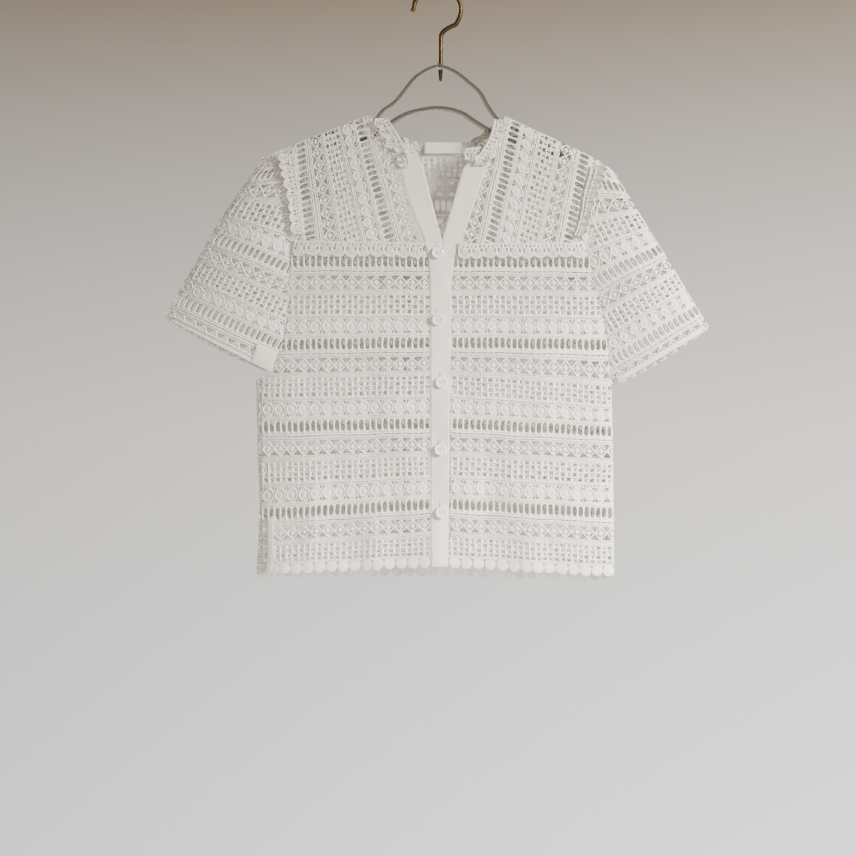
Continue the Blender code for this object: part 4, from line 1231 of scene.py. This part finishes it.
def woven_part(name, form, width, length, thickness, material=cotton_finish, step=LONG_CELL):
    """Sheet of woven cloth laid on a form, with the thickness and the rounded edges of its folded layers."""
    bm = bmesh.new()
    columns, rows = max(2, round(width / CELL)), max(1, round(length / step))
    bmesh.ops.create_grid(bm, x_segments=columns, y_segments=rows, size=0.5)
    bmesh.ops.scale(bm, vec=(width, length, 1.0), verts=bm.verts)
    bmesh.ops.translate(bm, vec=(width / 2, length / 2, 0.0), verts=bm.verts)
    mesh = as_mesh("woven", bm)
    flat = read_points(mesh)
    lay(mesh, flat, form(flat[:, 0], flat[:, 1]))
    bm = bmesh.new()
    take_in(bm, mesh)
    face_outward(bm)
    piece = add_piece(name, bm, material, 40.0)
    wall = piece.modifiers.new("folded layers", "SOLIDIFY")
    wall.thickness = thickness * MM
    wall.offset = 0.0
    round_edge = piece.modifiers.new("turned edges", "BEVEL")
    round_edge.width = thickness * 0.3 * MM
    round_edge.segments = 2
    round_edge.angle_limit = math.radians(50)
    print(f"{name}: {width:.0f} by {length:.0f} mm")
    return piece


# %% [markdown]
# Top-stitching runs two millimetres inside every folded edge. One stitch is a short closed thread, repeated
# along the seam like the lace, so it needs no texture and catches the light.

# %% Stitches
STITCH_PITCH = 2.9
STITCH_INSET = 2.0


def stitch_unit(height, width=0.55, gap=0.9):
    """One stitch at a height over the cloth's middle. Without a gap the stitches join into a cord."""
    bm = bmesh.new()
    thread_bar(bm, (0.0, gap / 2), (0.0, STITCH_PITCH - gap / 2), width, width)
    bmesh.ops.translate(bm, vec=(0, 0, height), verts=bm.verts)
    return flat_unit("stitch", bm)


def stitch_lines(name, lines, unit):
    """Rows of stitches. A line has the form of its cloth, the place across and the length."""
    bm = bmesh.new()
    for form, across, length in lines:
        mesh, flat, _ = tiled(unit, (0, 1), (0, int(length / STITCH_PITCH)), 1.0, STITCH_PITCH)
        flat[:, 0] += across
        lay(mesh, flat, on_form(form, flat))
        take_in(bm, mesh)
    bmesh.ops.recalc_face_normals(bm, faces=bm.faces)
    print(f"{name}: {count_triangles(bm)} triangles")
    piece = add_piece(name, bm, cotton_finish, 50.0)
    sew_on(piece, "woven_cotton")
    return piece


# %% [markdown]
# The placket is one strip down the front. Behind it lies the button stand, the strip that carries the
# buttons. Their edges come from the same table as the solids. The cloth between the buttons is pulled a
# little, and the strip rounds forward near the top, where it opens.

# %% Placket and button stand
PLACKET_TOP = PLACKET[0][0]
PLACKET_LENGTH = PLACKET_TOP - PLACKET[-1][0]
PLACKET_WIDTH = 24.0
STAND_WIDTH = 22.0
PULL = 0.45
PULL_LENGTH = 12.4
TOP_ROUND = 0.6
TOP_REACH = 200.0


def placket_form(along, down):
    z = PLACKET_TOP - down
    right, left = MIDDLE_X - table(PLACKET, z, 1), MIDDLE_X + table(PLACKET, z, 2)
    pull = PULL * np.sin(down / PULL_LENGTH) + TOP_ROUND * np.exp(-down / TOP_REACH)
    point = body_point(between(right, left, along / PLACKET_WIDTH), z, "front")
    point[..., 1] -= pull * np.sin(np.pi * along / PLACKET_WIDTH)
    return point


def stand_form(along, down):
    behind = -(PLACKET_WALL + TAPE_WALL) / 2 - 2 * SEAM
    return body_point(MIDDLE_X - STAND_WIDTH / 2 + along, PLACKET_TOP - down, "front", behind)


placket = woven_part("woven_placket", placket_form, PLACKET_WIDTH, PLACKET_LENGTH, PLACKET_WALL)
stand = woven_part("woven_button_stand", stand_form, STAND_WIDTH, PLACKET_LENGTH, TAPE_WALL)
sew_on(placket, "woven_cotton", "placket")
sew_on(stand, "woven_cotton", "button_stand")

# %% Neck bands
BAND_INNER = {
    "right": [(-193.0, 30.0), (-218.0, 20.0), (-302.9, -1.9), (-326.0, -1.9)],
    "left": [(-193.0, 38.0), (-220.0, 26.4), (-302.9, 2.2), (-326.0, 2.2)],
}
BAND_TOP = -196.0
BAND_WIDTH = 20.0
# the band's foot runs on under the placket's top, so that no line shows across the V
BAND_UNDER = 3.0
BAND_LENGTH = BAND_TOP - PLACKET_TOP + BAND_UNDER
BAND_THICK = PLACKET_WALL - 0.15


def band_form(side):
    sign = SIDE_SIGN[side]

    def form(along, down):
        z = BAND_TOP - down
        outer, inner = opening_edge(side, z) - SEAM / 2, table(BAND_INNER[side], z, 1)
        return body_point(MIDDLE_X + sign * between(outer, inner, along / BAND_WIDTH), z, "front")

    return form


bands = {}
for side in SIDE_SIGN:
    name = f"woven_band_{side}"
    bands[side] = woven_part(name, band_form(side), BAND_WIDTH, BAND_LENGTH, BAND_THICK, step=4.0)
    sew_on(bands[side], "woven_cotton", f"band_{side}")

# %% Cuff tapes
CUFF_TAPE = 7.0
CUFF_SPAN = (0.06, 0.93)
CUFF_LENGTH = 128.0
PIPING = 1.9
# the piping's stitches overlap, so that they read as a cord
PIPING_GAP = -0.2


def cuff_form(side, face):
    lift = (LACE_WALL + TAPE_WALL) / 2 + 2 * SEAM

    def form(along, down):
        share, from_cuff = between(*CUFF_SPAN, down / CUFF_LENGTH), np.clip(along, 0.0, CUFF_TAPE)
        return sleeve_point(side, face, share, from_cuff, lift)

    return form


cuffs = {}
for side in SIDE_SIGN:
    for face in FACE_SIGN:
        half = f"{side}_{face}"
        cuff = woven_part(f"cuff_tape_{half}", cuff_form(side, face), CUFF_TAPE, CUFF_LENGTH, TAPE_WALL)
        sew_on(cuff, "woven_cotton", f"cuff_{half}")
        cuffs[side, face] = cuff

# %% Neck label
LABEL = {"right_out": 18.5, "left_out": 25.2, "top": -183.0, "bottom": -196.7, "wall": 0.9,
         "clear": 0.6, "lean": 3.5, "stitch_inset": 1.5}
LABEL_WIDTH = LABEL["right_out"] + LABEL["left_out"]
LABEL_HEIGHT = LABEL["top"] - LABEL["bottom"]


def label_form(along, down):
    inset = -(LACE_WALL + LABEL["wall"]) / 2 - LABEL["clear"] - LABEL["lean"] * down / LABEL_HEIGHT
    return body_point(MIDDLE_X - LABEL["right_out"] + along, LABEL["top"] - down, "back", inset)


label = woven_part("satin_label", label_form, LABEL_WIDTH, LABEL_HEIGHT, LABEL["wall"], satin_finish)
sew_on(label, "satin_ribbon", "label")

# %% [markdown]
# Two small facings show at the wearer's right: one where the sleeve's seam meets the cuff, and one where
# the side seam meets the hem. They are folded cotton that keeps the ends of the lace rows from fraying.

# %% Facings
CUFF_FACING = {"span": (0.19, 0.015), "width": 26.0, "height": 19.0, "lift": 3.4}
SIDE_FACING = {"out": (206.5, 198.5), "top": -634.0, "width": 8.0, "length": 66.0, "wall": 0.8, "clear": 0.5}
# the side facing's foot flares out at the hem
FOOT_FLARE = 5.0
FOOT_REACH = 7.0


def cuff_facing_form(along, down):
    share = between(*CUFF_FACING["span"], along / CUFF_FACING["width"])
    from_cuff = np.clip(down, 0.0, CUFF_FACING["height"])
    return sleeve_point("right", "front", share, from_cuff, CUFF_FACING["lift"])


def side_facing_form(along, down):
    lift = (LACE_WALL + TAPE_WALL) / 2 + SIDE_FACING["clear"]
    x = MIDDLE_X - between(*SIDE_FACING["out"], along / SIDE_FACING["width"])
    flare = FOOT_FLARE * np.exp(-(SIDE_FACING["length"] - down) / FOOT_REACH)
    return body_point(x - flare, SIDE_FACING["top"] - down, "front", lift)


cuff_facing = woven_part("cuff_facing", cuff_facing_form, CUFF_FACING["width"], CUFF_FACING["height"],
                         TAPE_WALL)
side_facing = woven_part("side_facing", side_facing_form, SIDE_FACING["width"], SIDE_FACING["length"],
                         SIDE_FACING["wall"])
for piece in (cuff_facing, side_facing):
    sew_on(piece, "woven_cotton")

# %% Top-stitching of all woven parts
def both_edges(form, width, length, inset=STITCH_INSET):
    """Two lines of stitches, inside both long edges of a strip."""
    return [(form, across, length) for across in (inset, width - inset)]


front_lines = both_edges(placket_form, PLACKET_WIDTH, PLACKET_LENGTH)
for side in SIDE_SIGN:
    front_lines += both_edges(band_form(side), BAND_WIDTH, BAND_LENGTH)
cuff_lines = []
for key in cuffs:
    cuff_lines += both_edges(cuff_form(*key), CUFF_TAPE, CUFF_LENGTH, PIPING / 2)
label_lines = both_edges(label_form, LABEL_WIDTH, LABEL_HEIGHT, LABEL["stitch_inset"])
front_stitches = stitch_lines("placket_stitches", front_lines, stitch_unit(PLACKET_WALL / 2))
cuff_stitches = stitch_lines("cuff_piping", cuff_lines, stitch_unit(TAPE_WALL / 2, PIPING, PIPING_GAP))
label_stitches = stitch_lines("label_stitches", label_lines, stitch_unit(-LABEL["wall"] / 2))

# %% [markdown]
# ## Buttons
# The buttons look like shell but are moulded polyester with a pearl pigment: a rounded rim, a dished middle
# and four holes. A profile is spun round the button's axis. The pearly look is a faint mix of warm and cool
# white in broad bands under a clear, glossy coat.

# %% Pearl finish
PEARL_BAND = 5.0


def pearl_polyester():
    material, tree, shader = finish("pearl polyester", "F4F1EC", 0.28, Coat_Weight=0.6, Coat_Roughness=0.08,
                                    Subsurface_Weight=0.15, Subsurface_Scale=0.002)
    bands_of_pearl = noise(tree, object_place(tree), PEARL_BAND, 1.0, Distortion=1.2)
    connect(tree, shader, Base_Color=mixed(tree, bands_of_pearl, "F6F1EA", "E6E9EA"))
    return material


pearl_finish = pearl_polyester()

# %% Buttons and their threads
BUTTON_RADIUS = 6.9
BUTTON_THICK = 3.0
BUTTON_HOLE_RADIUS = 0.75
BUTTON_HOLE_OUT = 1.75
# the sewing thread reaches a little past the holes. Its width and height follow
CROSS_REACH = 1.15
CROSS_SIZE = (0.9, 0.8)
# columns: x, height, tilt in degrees
BUTTONS = [(0.4, -318.5, 0), (0.6, -397.7, 14), (4.8, -472.7, 0), (3.6, -552.5, 0), (4.8, -627.4, 0)]
# columns: share of the radius, share of the thickness, from the back's middle round the rim to the dish
BUTTON_PROFILE = [(0.0, 0.0), (0.78, 0.0), (0.93, 0.12), (1.0, 0.35), (1.0, 0.68), (0.95, 0.92), (0.88, 1.0),
                  (0.8, 0.97), (0.72, 0.84), (0.6, 0.78), (0.0, 0.78)]


def turned(points, axis, middle=(0.0, 0.0, 0.0), steps=40):
    """Profile points spun round an axis into a closed shape."""
    bm = bmesh.new()
    verts = [bm.verts.new(point) for point in points]
    edges = [bm.edges.new(pair) for pair in zip(verts, verts[1:])]
    bmesh.ops.spin(bm, geom=verts + edges, cent=middle, axis=axis, angle=2 * math.pi, steps=steps,
                   use_merge=True)
    bmesh.ops.remove_doubles(bm, verts=bm.verts, dist=0.001)
    bmesh.ops.recalc_face_normals(bm, faces=bm.faces)
    return bm


def hole_directions(count):
    """Directions in the button's plane towards a number of its four holes."""
    turns = [math.radians(45 + 90 * k) for k in range(count)]
    return [(math.cos(turn), math.sin(turn)) for turn in turns]


def hole_cutter():
    """Four round pins through the button."""
    bm = bmesh.new()
    for x, z in hole_directions(4):
        place = Vector((BUTTON_HOLE_OUT * x, -BUTTON_THICK / 2, BUTTON_HOLE_OUT * z))
        turn = Matrix.Translation(place) @ Matrix.Rotation(math.pi / 2, 4, "X")
        bmesh.ops.create_cone(bm, cap_ends=True, segments=14, radius1=BUTTON_HOLE_RADIUS,
                              radius2=BUTTON_HOLE_RADIUS, depth=BUTTON_THICK * 2, matrix=turn)
    return bm


def pierced_button():
    """Button with its back on the plane y = 0, facing -Y, with four holes cut through it."""
    profile = [(r * BUTTON_RADIUS, -h * BUTTON_THICK, 0.0) for r, h in BUTTON_PROFILE]
    blank = linked("button blank", as_mesh("button blank", turned(profile, (0, 1, 0))))
    cutter = linked("pins", as_mesh("pins", hole_cutter()))
    cut = blank.modifiers.new("holes", "BOOLEAN")
    cut.object = cutter
    cut.operation = "DIFFERENCE"
    cut.solver = "EXACT"
    mesh = evaluated(blank)
    bpy.data.objects.remove(cutter)
    return mesh


def thread_cross():
    """Two crossed threads between opposite holes."""
    bm = bmesh.new()
    for direction in hole_directions(2):
        end = Vector(direction) * BUTTON_HOLE_OUT * CROSS_REACH
        thread_bar(bm, -end, end, *CROSS_SIZE)
    bmesh.ops.rotate(bm, cent=(0, 0, 0), matrix=Matrix.Rotation(math.pi / 2, 3, "X"), verts=bm.verts)
    bmesh.ops.translate(bm, vec=(0, -BUTTON_THICK * 0.8, 0), verts=bm.verts)
    return bm


def button_place(x, z, tilt):
    lean = math.radians(tilt)
    back = float(stand_off(np.float64(x), np.float64(z), "front", creased=False)) + PLACKET_WALL / 2 + SEAM
    reach = BUTTON_RADIUS * abs(math.sin(lean)) + 0.2
    return Matrix.Translation((x, -(back + reach), z)) @ Matrix.Rotation(lean, 4, "X")


button_mesh = pierced_button()
for number, (x, z, tilt) in enumerate(BUTTONS, 1):
    button, threads = bmesh.new(), thread_cross()
    button.from_mesh(button_mesh)
    for bm in (button, threads):
        bmesh.ops.transform(bm, matrix=button_place(x, z, tilt), verts=bm.verts)
    disc = add_piece(f"pearl_button_{number}", button, pearl_finish, 35.0)
    sew_on(disc, "pearl_button", f"button_{number}")
    sew_on(add_piece(f"button_thread_{number}", threads, cotton_finish, 35.0), "woven_cotton")
bpy.data.meshes.remove(button_mesh)
print("buttons:", len(BUTTONS), "of", 2 * BUTTON_RADIUS, "mm")

# %% [markdown]
# Each button passes through a short upright buttonhole in the placket, worked with dense stitches on both
# sides. The slit shows as two ridges with a dark line between them, above the button.

# %% Buttonholes
BUTTONHOLE_LENGTH = 13.0
BUTTONHOLE_SHIFT = 6.0


# half the distance between the ridges, half the length of an end bar, and the widths and heights of both
RIDGE_OUT, END_OUT = 1.0, 1.5
RIDGE_SIZE, END_SIZE = (1.3, 0.9), (1.1, 0.9)
OVER_CLOTH = 0.1


def buttonhole_stitches():
    """Two long ridges and a bar across each of their ends, flat and just above the placket's surface."""
    bm = bmesh.new()
    for x in (-RIDGE_OUT, RIDGE_OUT):
        thread_bar(bm, (x, 0.0), (x, BUTTONHOLE_LENGTH), *RIDGE_SIZE)
    for y in (0.0, BUTTONHOLE_LENGTH):
        thread_bar(bm, (-END_OUT, y), (END_OUT, y), *END_SIZE)
    bmesh.ops.translate(bm, vec=(0, 0, PLACKET_WALL / 2 + OVER_CLOTH), verts=bm.verts)
    return as_mesh("buttonhole", bm)


def buttonholes():
    bm = bmesh.new()
    for x, z, _ in BUTTONS:
        top = z + BUTTONHOLE_SHIFT + BUTTONHOLE_LENGTH / 2

        def form(along, down, x=x, top=top):
            return body_point(x + along, top - down, "front")

        mesh = buttonhole_stitches()
        flat = read_points(mesh)
        lay(mesh, flat, on_form(form, flat))
        take_in(bm, mesh)
    bmesh.ops.recalc_face_normals(bm, faces=bm.faces)
    return add_piece("buttonholes", bm, cotton_finish, 50.0)


buttonhole_piece = buttonholes()
sew_on(buttonhole_piece, "woven_cotton")

# %% [markdown]
# ## Hanger
# The hanger is bent from round, clear acrylic. Its shape is a curve with a round bevel, converted to a mesh
# so that it can be placed and sized exactly. Acrylic has an IOR of 1.49 and very little roughness. A full
# rod would work as a strong lens and show the wall upside down as a pale stripe. Here a second,
# inward-facing skin makes it a tube, so the wall shows through and only the two edges are drawn, dark and
# bright, by refraction. A faint grey tint stands for the light that is lost on the way.

# %% Clear and metal finishes
BRUSH = 0.6
TARNISH = 12.0


def brass_wire():
    """Drawn brass: fine lines along the wire and a slightly uneven polish."""
    material, tree, shader = finish("drawn brass wire, dull", "7D6C40", 0.36, Metallic=1.0)
    place = object_place(tree)
    stretch = node(tree, "ShaderNodeMapping", {"Vector": place, "Scale": (1.0, 1.0, 0.12)}).outputs["Vector"]
    polish = mapped(tree, noise(tree, stretch, BRUSH, 2.0), 0.0, 1.0, 0.38, 0.54)
    tone = mixed(tree, noise(tree, place, TARNISH, 2.0), "6F5D3E", "4A3E26")
    connect(tree, shader, Roughness=polish, Base_Color=tone)
    return material


acrylic_finish = finish("cast acrylic, clear", "CFCECA", 0.02, IOR=1.49, Transmission_Weight=1.0)[0]
nickel_finish = finish("nickel, worn", "524C42", 0.62, Metallic=1.0)[0]
brass_finish = brass_wire()


# %% Rods
def cubic(a, b, c, d, t):
    """Catmull-Rom value at the share t of the way from b to c, with the neighbours a and d."""
    second, third = (2 * a - 5 * b + 4 * c - d) * t * t, (3 * b - a - 3 * c + d) * t ** 3
    return 0.5 * (2 * b + (c - a) * t + second + third)


def smooth_line(points, spacing):
    """Points of a Catmull-Rom curve through the given points, about one spacing apart."""
    line = [points[0]]
    padded = [points[0], *points, points[-1]]
    for k in range(1, len(points)):
        before, start, end, after = padded[k - 1:k + 3]
        steps = max(1, round((Vector(end) - Vector(start)).length / spacing))
        for step in range(1, steps + 1):
            t = step / steps
            line.append(tuple(cubic(*values, t) for values in zip(before, start, end, after)))
    return line


def swept(points, radius):
    """Closed round bar along a line of points, as a mesh."""
    curve = bpy.data.curves.new("line", "CURVE")
    curve.dimensions = "3D"
    spline = curve.splines.new("POLY")
    spline.points.add(len(points) - 1)
    for target, point in zip(spline.points, points):
        target.co = (*point, 1.0)
    curve.bevel_depth = radius
    curve.bevel_resolution = 8
    curve.use_fill_caps = True
    bm = bmesh.new()
    take_in(bm, evaluated(linked("line", curve)))
    bmesh.ops.remove_doubles(bm, verts=bm.verts, dist=0.001)
    bmesh.ops.recalc_face_normals(bm, faces=bm.faces)
    return as_mesh("bar", bm)


def rod(name, points, radius, material, bore=0.0):
    """Round rod along a line of points, or a tube with closed ends where it has a bore."""
    bm = bmesh.new()
    take_in(bm, swept(points, radius))
    if bore:
        outside = len(bm.faces)
        take_in(bm, swept(points[2:-2], bore))
        bmesh.ops.reverse_faces(bm, faces=list(bm.faces)[outside:])
    print(f"{name}: {count_triangles(bm)} triangles")
    return add_piece(name, bm, material, 50.0)


# %% [markdown]
# The top rod runs over both shoulders and rises to the hook in a bell. The lower bar is a shallow arch
# between the shoulders. Both repeat the solids' points, so they stay inside the cloth.

# %% The hanger's two rods
ROD_RADIUS = 2.9
ROD_DROP = 7.2
BAR_RADIUS = 3.6
SHOULDER_SLANT = 0.88
# columns: x, height
BELL = [(-64.5, -146.5), (-49.0, -134.9), (-27.6, -108.5), (-10.8, -97.1), (3.6, -93.5), (21.6, -100.1),
        (37.2, -112.1), (51.6, -125.3), (62.0, -143.5)]
ARCH = [(-43.2, -154.0), (-18.0, -146.0), (4.8, -144.0), (28.8, -149.5), (50.0, -163.0)]
ARM_INSETS = (26.0, 60.0)
ARM_NECK = (8.0, -5.0)
BAR_INSETS = (40.0, 56.0)
BAR_NECK = 4.0
BAR_DROPS = ((ROD_RADIUS + BAR_RADIUS + SEAM) / SHOULDER_SLANT, 11.0, 20.0)
ROD_BORE = 2.2
BAR_BORE = 2.8
# distance between the points of a rod's line
ROD_STEP = 2.0


def arm(side):
    """The top rod's points over one shoulder, from its end to the neck."""
    line = SHOULDER[side]
    outs = [line["end_out"] - inset for inset in ARM_INSETS] + [line["neck_out"] + past for past in ARM_NECK]
    heights = [min(shoulder_height(side, out), line["neck_z"]) - ROD_DROP for out in outs]
    return [(MIDDLE_X + SIDE_SIGN[side] * out, z) for out, z in zip(outs, heights)]


def bar_end(side):
    """The lower bar's points under one shoulder, from its end inwards."""
    line = SHOULDER[side]
    outs = [line["end_out"] - inset for inset in BAR_INSETS] + [line["neck_out"] + BAR_NECK]
    heights = [shoulder_height(side, out) - ROD_DROP - drop for out, drop in zip(outs, BAR_DROPS)]
    return [(MIDDLE_X + SIDE_SIGN[side] * out, z) for out, z in zip(outs, heights)]


def upright(points):
    """Points in the hanger's plane from pairs of x and height."""
    return [(x, 0.0, z) for x, z in points]


def hanger_rod(name, side_points, middle_points, radius, bore):
    points = upright([*side_points("right"), *middle_points, *reversed(side_points("left"))])
    return rod(name, smooth_line(points, ROD_STEP), radius, acrylic_finish, bore)


sew_on(hanger_rod("acrylic_top_rod", arm, BELL, ROD_RADIUS, ROD_BORE), "clear_acrylic", "hanger_rod")
sew_on(hanger_rod("acrylic_lower_bar", bar_end, ARCH, BAR_RADIUS, BAR_BORE), "clear_acrylic", "hanger_bar")

# %% [markdown]
# ## Hook
# The hook is a brass wire bent three quarters of a circle, with a double bend that brings the stem under
# the middle. A short ferrule holds it at the acrylic, and its tapered screw end shows below the clear bell.
# Metal takes nearly all its look from what it reflects, so the tones here are darker than the wire seems.

# %% The hook's wire, ferrule and screw
HOOK_WIRE = 2.5
WIRE_SHOWN = 2.8
HOOK_RADIUS = 28.2
HOOK_STEM_X = 4.2
HANGER_TOP = -93.5
HOOK_START, HOOK_END = 176.0, -38.0
HOOK_STEPS = 54
HOOK_BENDS = [(14.0, -47.0), (7.6, -51.5), (4.6, -57.0), (HOOK_STEM_X, -64.0)]
FERRULE_TOP = -88.0
FERRULE_FOOT = HANGER_TOP + ROD_RADIUS + SEAM + 0.1
SCREW_HEAD = HANGER_TOP - ROD_RADIUS - SEAM - 0.6
SCREW_LENGTH = 14.0
SCREW_TURNS = 13
SCREW_RADII = (3.1, 1.9)
THREAD_ROOT = 0.84


def hook_points():
    centre_z = -HOOK_RADIUS + HOOK_WIRE
    points = [(-HOOK_RADIUS - 1.6, 0.0, centre_z - 1.5)]
    for k in range(HOOK_STEPS + 1):
        turn = math.radians(between(HOOK_START, HOOK_END, k / HOOK_STEPS))
        points.append((HOOK_RADIUS * math.cos(turn), 0.0, centre_z + HOOK_RADIUS * math.sin(turn)))
    bends = upright([*HOOK_BENDS, (HOOK_STEM_X, FERRULE_FOOT)])
    return points + smooth_line([points[-1], *bends], ROD_STEP)[1:]


def round_the_stem(name, profile, material):
    """Solid of revolution round the hook's stem. profile columns: radius, height, from the top down."""
    points = upright([(HOOK_STEM_X + radius, height) for radius, height in profile])
    return add_piece(name, turned(points, (0, 0, 1), (HOOK_STEM_X, 0, 0), 32), material, 35.0)


def screw_thread():
    """Profile of the tapered pin: a narrow crest for every turn, with a groove under it."""
    profile = [(0.0, SCREW_HEAD)]
    for k in range(SCREW_TURNS):
        size, top = between(*SCREW_RADII, k / (SCREW_TURNS - 1)), SCREW_HEAD - 0.2 - k
        profile += [(size, top), (size * THREAD_ROOT, top - 0.5)]
    return [*profile, (0.0, SCREW_HEAD - SCREW_LENGTH)]


ferrule_profile = [(0.0, FERRULE_TOP), (3.0, FERRULE_TOP), (3.3, FERRULE_TOP - 0.4),
                   (3.3, FERRULE_FOOT + 0.4), (3.0, FERRULE_FOOT), (0.0, FERRULE_FOOT)]
sew_on(rod("brass_hook", hook_points(), WIRE_SHOWN, brass_finish), "brass_wire", "hook")
sew_on(round_the_stem("brass_ferrule", ferrule_profile, brass_finish), "brass_wire", "hook")
sew_on(round_the_stem("hook_screw_pin", screw_thread(), nickel_finish), "brass_wire", "hook_screw")

# %% [markdown]
# ## The narrow pieces
# The side facing, the cuff facing and the cuff piping are listed with the lace that they bind.


narrow = {"front_right": [side_facing], "sleeve_right": [cuff_facing, cuff_stitches]}
for side in SIDE_SIGN:
    edging = narrow.get(f"front_{side}", [])

# %% [markdown]
# The woven strips are rectangles. The cuff tapes and the facings are too narrow to be sheets of their own,
# so they are named above with the lace that they bind.


# %% [markdown]
# ## Studio and camera
# The camera stands level with the jacket at two metres, so edges hardly converge. Lace needs a light that
# grazes it: an even glow from all sides fills each hole and the relief is lost. So one soft window lamp on
# the right gives the shape, a weak lamp low in front lifts the shadows, and a third one behind serves views
# of the back. The surround is brighter behind the jacket, where it is the wall, than in the rest of the
# room, for the same reason. The floor lies well below the jacket and ends close behind it, out of the main
# view.

# %% Surround and floor
FLOOR_Z = -1250.0
FLOOR_SIDE = 1600.0
FLOOR_FRONT = -1600.0
FLOOR_BACK = 700.0
WALL_STRENGTH = 1.85
# from below over the middle to above. The darker, warmer top is painted shade of the wall, and the surround
# also lights the jacket with these tones
WALL_TONES = ("E4E5E6", "CDC9C4", "7A6D5E")
ROOM_TONE = "7D766D"


def surround():
    world = bpy.data.worlds.new("pale room")
    bpy.context.scene.world = world
    world.use_nodes = True
    tree = world.node_tree
    place = node(tree, "ShaderNodeTexCoord").outputs["Generated"]
    across, behind, height = node(tree, "ShaderNodeSeparateXYZ", {"Vector": place}).outputs
    ramp = node(tree, "ShaderNodeValToRGB", {"Fac": mapped(tree, height, -0.25, 0.25)})
    ramp.color_ramp.elements.new(0.5)
    for stop, tone in zip(ramp.color_ramp.elements, WALL_TONES):
        stop.color = linear(tone)
    # painted shade: the wall is darker at the left and brighter at the right, as with the lamp on the right,
    # and the surround also gives less light from the left
    side = mapped(tree, across, -0.26, 0.26, 0.8, 1.2)
    wall = mixed(tree, 1.0, ramp.outputs["Color"], side, "MULTIPLY")
    near_wall = mapped(tree, behind, 0.84, 0.93, interpolation_type="SMOOTHSTEP")
    shade = tree.nodes["Background"]
    connect(tree, shade, Color=mixed(tree, near_wall, ROOM_TONE, wall))
    shade.inputs["Strength"].default_value = WALL_STRENGTH


def floor():
    bm = bmesh.new()
    bmesh.ops.create_grid(bm, x_segments=1, y_segments=1, size=1.0)
    bmesh.ops.scale(bm, vec=(FLOOR_SIDE, (FLOOR_BACK - FLOOR_FRONT) / 2, 1.0), verts=bm.verts)
    bmesh.ops.translate(bm, vec=(0.0, (FLOOR_BACK + FLOOR_FRONT) / 2, FLOOR_Z), verts=bm.verts)
    add_piece("floor", bm, finish("matt pale floor paint", "BCB8B2", 0.9)[0])


surround()
floor()

# %% Lights
# columns: place, target, size, spread in degrees, watts, colour
LIGHTS = {
    "window": ((1.55, -1.0, 0.3), (0.1, 0.0, -1.02), 0.6, 62.0, 27.0, "FFFBF4"),
    "room": ((0.0, -0.75, -1.0), (0.0, 0.0, -0.7), 0.5, 180.0, 4.0, "FFFFFF"),
    "back": ((-1.5, 1.3, 0.2), (0.0, 0.0, -0.5), 0.8, 180.0, 34.0, "FFFFFF"),
}
for name, (place, target, size, spread, watts, colour) in LIGHTS.items():
    lamp = bpy.data.lights.new(name, "AREA")
    lamp.size = size
    lamp.spread = math.radians(spread)
    lamp.color = linear(colour)[:3]
    lamp.energy = watts
    item = linked(name, lamp)
    item.location = place
    item.rotation_euler = (Vector(target) - item.location).to_track_quat("-Z", "Y").to_euler()
    # otherwise the clear rods would show the lamps themselves as white stripes
    item.visible_transmission = False

# %% Camera
VIEW_CENTRE = (-0.0108, -0.527)
VIEW_WIDTH = 1.027
DISTANCE = 2.0
SENSOR = 36.0


data = bpy.data.cameras.new("camera")
data.sensor_width = SENSOR
data.lens = SENSOR * DISTANCE / VIEW_WIDTH
camera = linked("camera", data)
camera.location = (VIEW_CENTRE[0], -DISTANCE, VIEW_CENTRE[1])
camera.rotation_euler = (math.pi / 2, 0.0, 0.0)
bpy.context.scene.camera = camera
print("camera lens in mm:", round(data.lens, 1))
